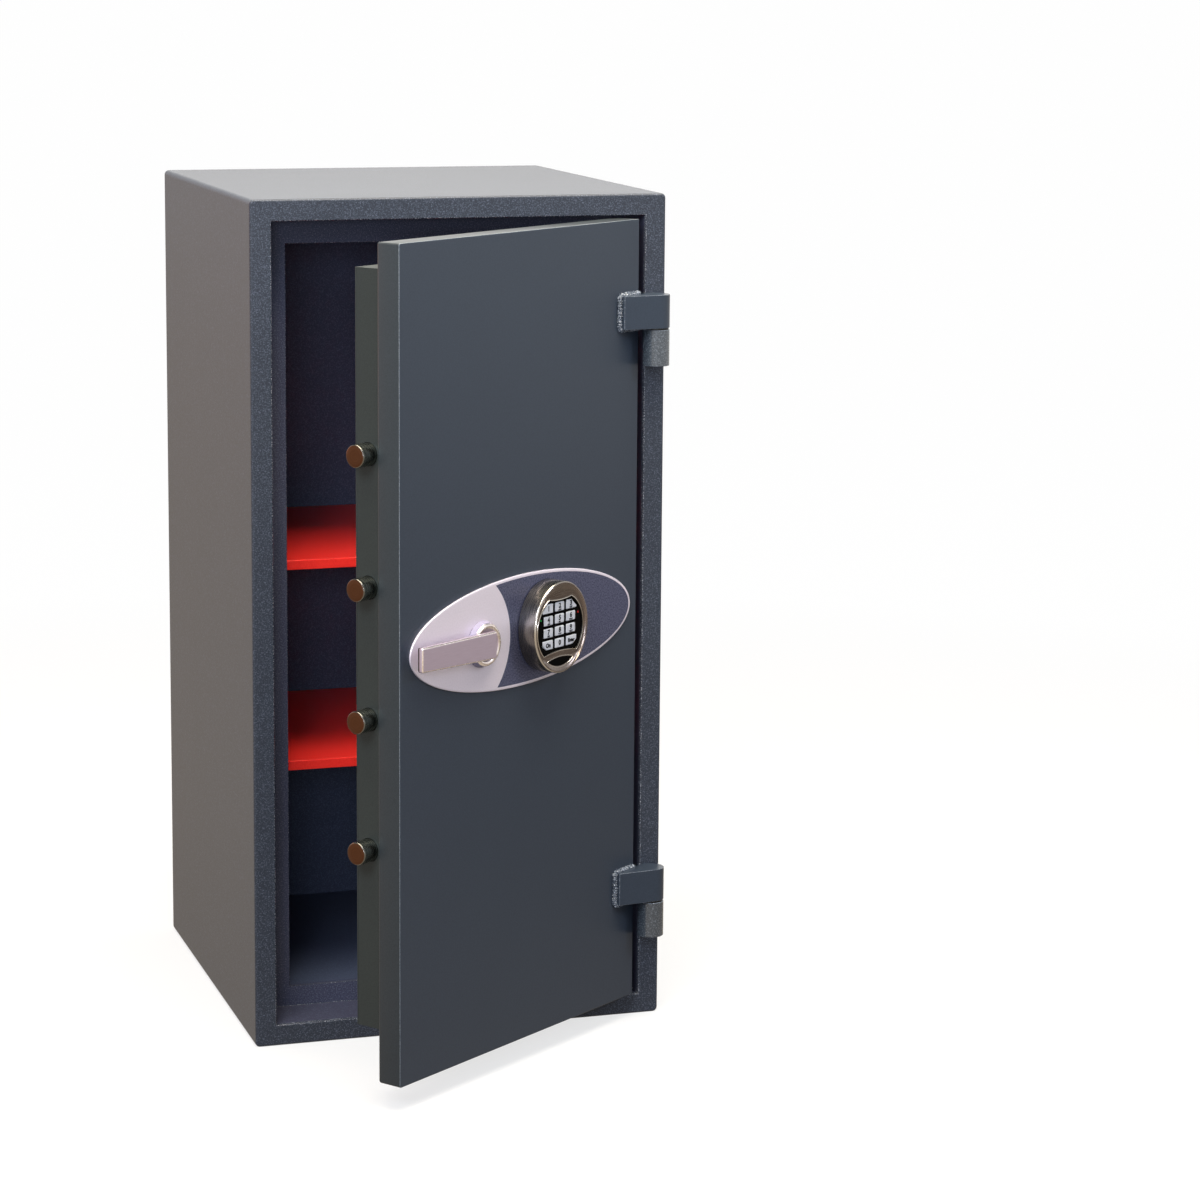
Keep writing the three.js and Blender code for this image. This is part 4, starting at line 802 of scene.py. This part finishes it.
# Status lights: small lenses of tinted acrylic, pressed into the panel at both sides of the keys.
# They look dim, as when the lock is at rest.
def tinted_lens(name, colour, glow):
    """Tinted acrylic, IOR 1.49: smooth, with a swirl of about 1 mm between two tints, faintly lit
    from behind."""
    material, tree, surface = new_material(name)
    swirl_mm = 10 / 9
    surface.inputs["IOR"].default_value = 1.49
    surface.inputs["Roughness"].default_value = 0.12
    surface.inputs["Emission Strength"].default_value = 0.06
    place = add(tree, "ShaderNodeTexCoord").outputs["Object"]
    swirl = add(tree, "ShaderNodeTexNoise", {"Vector": place, "Scale": 1000 / swirl_mm})
    colours = add(tree, "ShaderNodeMix", {
        "Factor": swirl.outputs["Fac"], "A": linear(colour), "B": linear(glow)}, data_type="RGBA")
    tree.links.new(colours.outputs["Result"], surface.inputs["Base Color"])
    tree.links.new(colours.outputs["Result"], surface.inputs["Emission Color"])
    return material


dress(frame["nodes"]["led_green"], tinted_lens("green acrylic", "#137a35", "#1fa04a"))
dress(frame["nodes"]["led_red"], tinted_lens("red acrylic", "#a31717", "#c92a22"))


# Keys: silicone rubber, moulded in pale grey, with their numbers printed in dark matt ink. Each one
# is pressed on its own, and it stands a little out of the panel.
key_rubber = moulded_finish("grey silicone rubber", "#d2d4da", 0.5, 0.9)
key_ink = moulded_finish("dark key ink", "#050506", 0.7, level=0.1)
key_face = -241.16
ink_mm = 0.03
legends = {
    "key_1": ("1", "", -18, 20.3), "key_2": ("2", "ABC", 0, 20.3), "key_3": ("3", "DEF", 18, 20.3),
    "key_4": ("4", "GHI", -18, 8.3), "key_5": ("5", "JKL", 0, 8.3), "key_6": ("6", "MNO", 18, 8.3),
    "key_7": ("7", "PRS", -18, -3.7), "key_8": ("8", "TUV", 0, -3.7), "key_9": ("9", "WXY", 18, -3.7),
    "key_on": ("On", "", -18.6, -15.9), "key_0": ("0", "", 0, -15.7),
    "key_enter": ("Enter", "", 18.7, -15.9)}


def printed(name, words, size_mm, bold_mm, x, z, body):
    """Words in dark ink, size_mm high and laid on a key's face: their outline, thickened by bold_mm
    and by the ink's depth, moved to x and z from the keypad's middle and turned with the door."""
    letters = bpy.data.curves.new(name, "FONT")
    letters.body = words
    letters.align_x = "CENTER"
    letters.align_y = "CENTER"
    letters.size = size_mm / 1000
    letters.offset = bold_mm / 1000
    letters.extrude = ink_mm / 1000
    letters.resolution_u = 3
    holder = bpy.data.objects.new(name, letters)
    bpy.context.scene.collection.objects.link(holder)
    bpy.context.view_layer.update()
    mesh = bpy.data.meshes.new_from_object(holder.evaluated_get(bpy.context.evaluated_depsgraph_get()))
    bpy.data.objects.remove(holder)
    flat = np.zeros(len(mesh.vertices) * 3)
    mesh.vertices.foreach_get("co", flat)
    flat = flat.reshape(-1, 3) * 1000
    placed = on_door(np.column_stack([
        keypad_x + x + flat[:, 0], key_face - flat[:, 2], plate_height + z + flat[:, 1]])) / 1000
    mesh.vertices.foreach_set("co", placed.ravel())
    mesh.update()
    legend = bpy.data.objects.new(name, mesh)
    bpy.context.scene.collection.objects.link(legend)
    dress(legend, key_ink)
    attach(legend, body)


size_by_length = {1: 6.8, 2: 5.6, 5: 4.7}
for node, (words, small, x, z) in legends.items():
    body = node.replace("key_", "button_")
    lift = 0.9 if small else 0
    finished_copy(node, node + "_cap", key_rubber, 0.6, 3, 60)
    printed(node + "_legend", words, size_by_length[len(words)], 0.34, x, z + lift, body)
    if small:
        printed(node + "_letters", small, 2.4, 0.14, x, z - 3.1, body)


# Room: a plain pale floor that runs up behind, which the camera sees as white, with the soft shadow
# of the safe kept on it.
white_tone = (1, 1, 1, 1)


def pale_floor():
    """Pale matt floor: seen by the camera it is mostly an even white, with a share of its own lit
    diffuse colour, so the shadow stays. In reflections it shows a painted warm glow near the safe and
    behind it on the left, and a painted shadow on the right. Each zone is a distance from a point on the
    floor."""
    material = bpy.data.materials.new("pale matt floor")
    material.use_nodes = True
    tree = material.node_tree
    tree.nodes.clear()
    shadow_middle = (1.8, -0.3, 0.0)
    warm_middle = (-1.5, 3.0, 0.0)
    rays = add(tree, "ShaderNodeLightPath")
    seen = add(tree, "ShaderNodeMath", {
        0: rays.outputs["Is Camera Ray"], 1: rays.outputs["Is Transmission Ray"]}, operation="MAXIMUM")
    place = add(tree, "ShaderNodeTexCoord").outputs["Object"]
    away = add(tree, "ShaderNodeVectorMath", {0: place}, operation="LENGTH")
    plain = add(tree, "ShaderNodeMapRange", {
        "Value": away.outputs["Value"],
        "From Min": 0.5, "From Max": 2.2, "To Min": 0.72, "To Max": 0.99})
    # Painted shadow: glossy rays see less of the white near a point on the right, where the safe's shadow
    # falls.
    beside = add(tree, "ShaderNodeVectorMath", {0: place, 1: shadow_middle}, operation="DISTANCE")
    painted_shadow = add(tree, "ShaderNodeMapRange", {
        "Value": beside.outputs["Value"],
        "From Min": 0.4, "From Max": 2.5, "To Min": 0.35, "To Max": 1.0})
    mirrored = add(tree, "ShaderNodeMath", {
        0: rays.outputs["Is Glossy Ray"], 1: painted_shadow.outputs["Result"]}, operation="MULTIPLY")
    share = add(tree, "ShaderNodeMath", {
        0: seen.outputs[0], 1: plain.outputs["Result"], 2: mirrored.outputs[0]},
        operation="MULTIPLY_ADD")
    tint = add(tree, "ShaderNodeMix", {
        "Factor": seen.outputs[0], "A": linear("#303030"), "B": linear("#e9e9e9")}, data_type="RGBA")
    lit = add(tree, "ShaderNodeBsdfDiffuse", {"Color": tint.outputs["Result"]})
    # Painted warm glow: glossy rays see the white tinted warm near the safe and near a point behind it on
    # the left.
    near = add(tree, "ShaderNodeMapRange", {
        "Value": away.outputs["Value"],
        "From Min": 4.3, "From Max": 5.6, "To Min": 1.0, "To Max": 0.0})
    behind = add(tree, "ShaderNodeVectorMath", {0: place, 1: warm_middle}, operation="DISTANCE")
    far = add(tree, "ShaderNodeMapRange", {
        "Value": behind.outputs["Value"],
        "From Min": 3.0, "From Max": 4.2, "To Min": 1.0, "To Max": 0.0})
    around_it = add(tree, "ShaderNodeMath", {
        0: near.outputs["Result"], 1: far.outputs["Result"]}, operation="MAXIMUM")
    warm = add(tree, "ShaderNodeMath", {
        0: rays.outputs["Is Glossy Ray"], 1: around_it.outputs[0]}, operation="MULTIPLY")
    glow = add(tree, "ShaderNodeMix", {
        "Factor": warm.outputs[0], "A": white_tone, "B": linear("#eaddcc")}, data_type="RGBA")
    white = add(tree, "ShaderNodeEmission", {"Color": glow.outputs["Result"], "Strength": 1.0})
    mixed = add(tree, "ShaderNodeMixShader", {
        0: share.outputs[0], 1: lit.outputs["BSDF"], 2: white.outputs["Emission"]})
    add(tree, "ShaderNodeOutputMaterial", {"Surface": mixed.outputs["Shader"]})
    return material


# The floor's section, in metres: flat, then a bend of 3 m that starts 5 m behind, then upright.
bend_start, bend_radius, half_floor = 5, 3, 11
bend = np.linspace(0.2, math.pi / 2, 8)
run = np.concatenate([
    np.linspace(-8, bend_start, 8), bend_start + bend_radius * np.sin(bend), [bend_start + bend_radius]])
rise = np.concatenate([np.zeros(8), bend_radius * (1 - np.cos(bend)), [9.0]])
wide = np.linspace(-half_floor, half_floor, 3)
points = np.stack(np.broadcast_arrays(wide[None, :], run[:, None], rise[:, None]), axis=-1) * 1000
backdrop = skin("floor_and_backdrop", points, closed=False, capped=False)
dress(backdrop, pale_floor())
backdrop.data.flip_normals()


# Light: a wide warm lamp above, a cool key lamp at the left front and a weaker one beside the view,
# a faint orange one from the left and a little behind, a weak one behind, and a cool one from the
# right front.
def lamp(name, place, aim, size, power, colour):
    """A rectangular area lamp of this width and height in m, at a place, turned to face a point."""
    data = bpy.data.lights.new(name, "AREA")
    data.shape = "RECTANGLE"
    data.size, data.size_y = size
    data.energy = power
    data.color = linear(colour)[:3]
    obj = bpy.data.objects.new(name, data)
    obj.location = place
    obj.rotation_euler = (Vector(aim) - Vector(place)).to_track_quat("-Z", "Y").to_euler()
    obj.visible_camera = False
    bpy.context.scene.collection.objects.link(obj)


lamp("lamp_above", (0.0, -0.35, 2.3), (0.0, -0.05, 0.85), (1.8, 1.8), 112, "#fff5e2")
lamp("lamp_key", (-1.6, -2.1, 2.1), (-0.1, -0.2, 0.8), (1.5, 1.1), 58, "#eff4ff")
lamp("lamp_front", (-1.1, -3.5, 1.1), (-0.1, -0.1, 0.7), (0.8, 0.6), 28, "#e2ebff")
lamp("lamp_left", (-2.2, 1.6, 1.2), (-0.2, 0.0, 0.45), (1.2, 1.6), 13, "#ff9050")
lamp("lamp_back", (1.0, 3.0, 1.75), (0.0, 0.1, 0.6), (2.4, 1.2), 10, "#fff8ee")
lamp("lamp_right", (2.7, -1.7, 2.2), (0.0, -0.35, 0.75), (0.6, 1.0), 32, "#e6eeff")


# Surroundings: a white room. It lights the safe only weakly, and more from above than from the floor.
# The camera sees it white, and in reflections its ceiling is dimmed to a half.
world = bpy.data.worlds.new("soft room")
world.use_nodes = True
bpy.context.scene.world = world
tree = world.node_tree
tree.nodes.clear()
rays = add(tree, "ShaderNodeLightPath")
way = add(tree, "ShaderNodeTexCoord").outputs["Generated"]
height = add(tree, "ShaderNodeSeparateXYZ", {"Vector": way})
sky = add(tree, "ShaderNodeMapRange", {
    "Value": height.outputs["Z"], "From Min": -0.1, "From Max": 0.9, "To Min": 0.03, "To Max": 0.26})
room = add(tree, "ShaderNodeBackground", {"Color": white_tone, "Strength": sky.outputs["Result"]})
ceiling = add(tree, "ShaderNodeMapRange", {
    "Value": height.outputs["Z"], "From Min": 0.2, "From Max": 0.6, "To Min": 1.0, "To Max": 0.5})
full = add(tree, "ShaderNodeMath", {
    0: rays.outputs["Is Camera Ray"], 1: rays.outputs["Is Transmission Ray"]}, operation="MAXIMUM")
dimmed = add(tree, "ShaderNodeMath", {
    0: rays.outputs["Is Glossy Ray"], 1: ceiling.outputs["Result"], 2: full.outputs[0]},
    operation="MULTIPLY_ADD")
white = add(tree, "ShaderNodeBackground", {"Color": white_tone, "Strength": dimmed.outputs[0]})
shown = add(tree, "ShaderNodeMath", {
    0: full.outputs[0], 1: rays.outputs["Is Glossy Ray"]}, operation="MAXIMUM")
seen = add(tree, "ShaderNodeMixShader", {
    0: shown.outputs[0], 1: room.outputs["Background"], 2: white.outputs["Background"]})
add(tree, "ShaderNodeOutputWorld", {"Surface": seen.outputs["Shader"]})


# Camera: it stands 3.5 m in front of the safe, 0.9 m to the left and 1.1 m above the floor, so a
# little above the safe, and it looks slightly down. A long lens keeps the sides nearly parallel.
camera_x, camera_y, camera_z = -0.9079, -3.4926, 1.1003
yaw, pitch, roll = math.radians(17.838), math.radians(-8.901), math.radians(0.45)
ahead = Vector((math.sin(yaw) * math.cos(pitch), math.cos(yaw) * math.cos(pitch), math.sin(pitch)))
level = Vector((math.cos(yaw), -math.sin(yaw), 0))
above = level.cross(ahead)
right = math.cos(roll) * level + math.sin(roll) * above
up = -math.sin(roll) * level + math.cos(roll) * above
view = bpy.data.cameras.new("camera")
view.sensor_width = 36
view.lens = 103.49
view.shift_y = -0.1
view.clip_end = 60
camera = bpy.data.objects.new("camera", view)
camera.matrix_world = Matrix((
    (right.x, up.x, -ahead.x, camera_x),
    (right.y, up.y, -ahead.y, camera_y),
    (right.z, up.z, -ahead.z, camera_z),
    (0, 0, 0, 1)))
bpy.context.scene.collection.objects.link(camera)
bpy.context.scene.camera = camera
bpy.context.scene.view_settings.view_transform = "Standard"
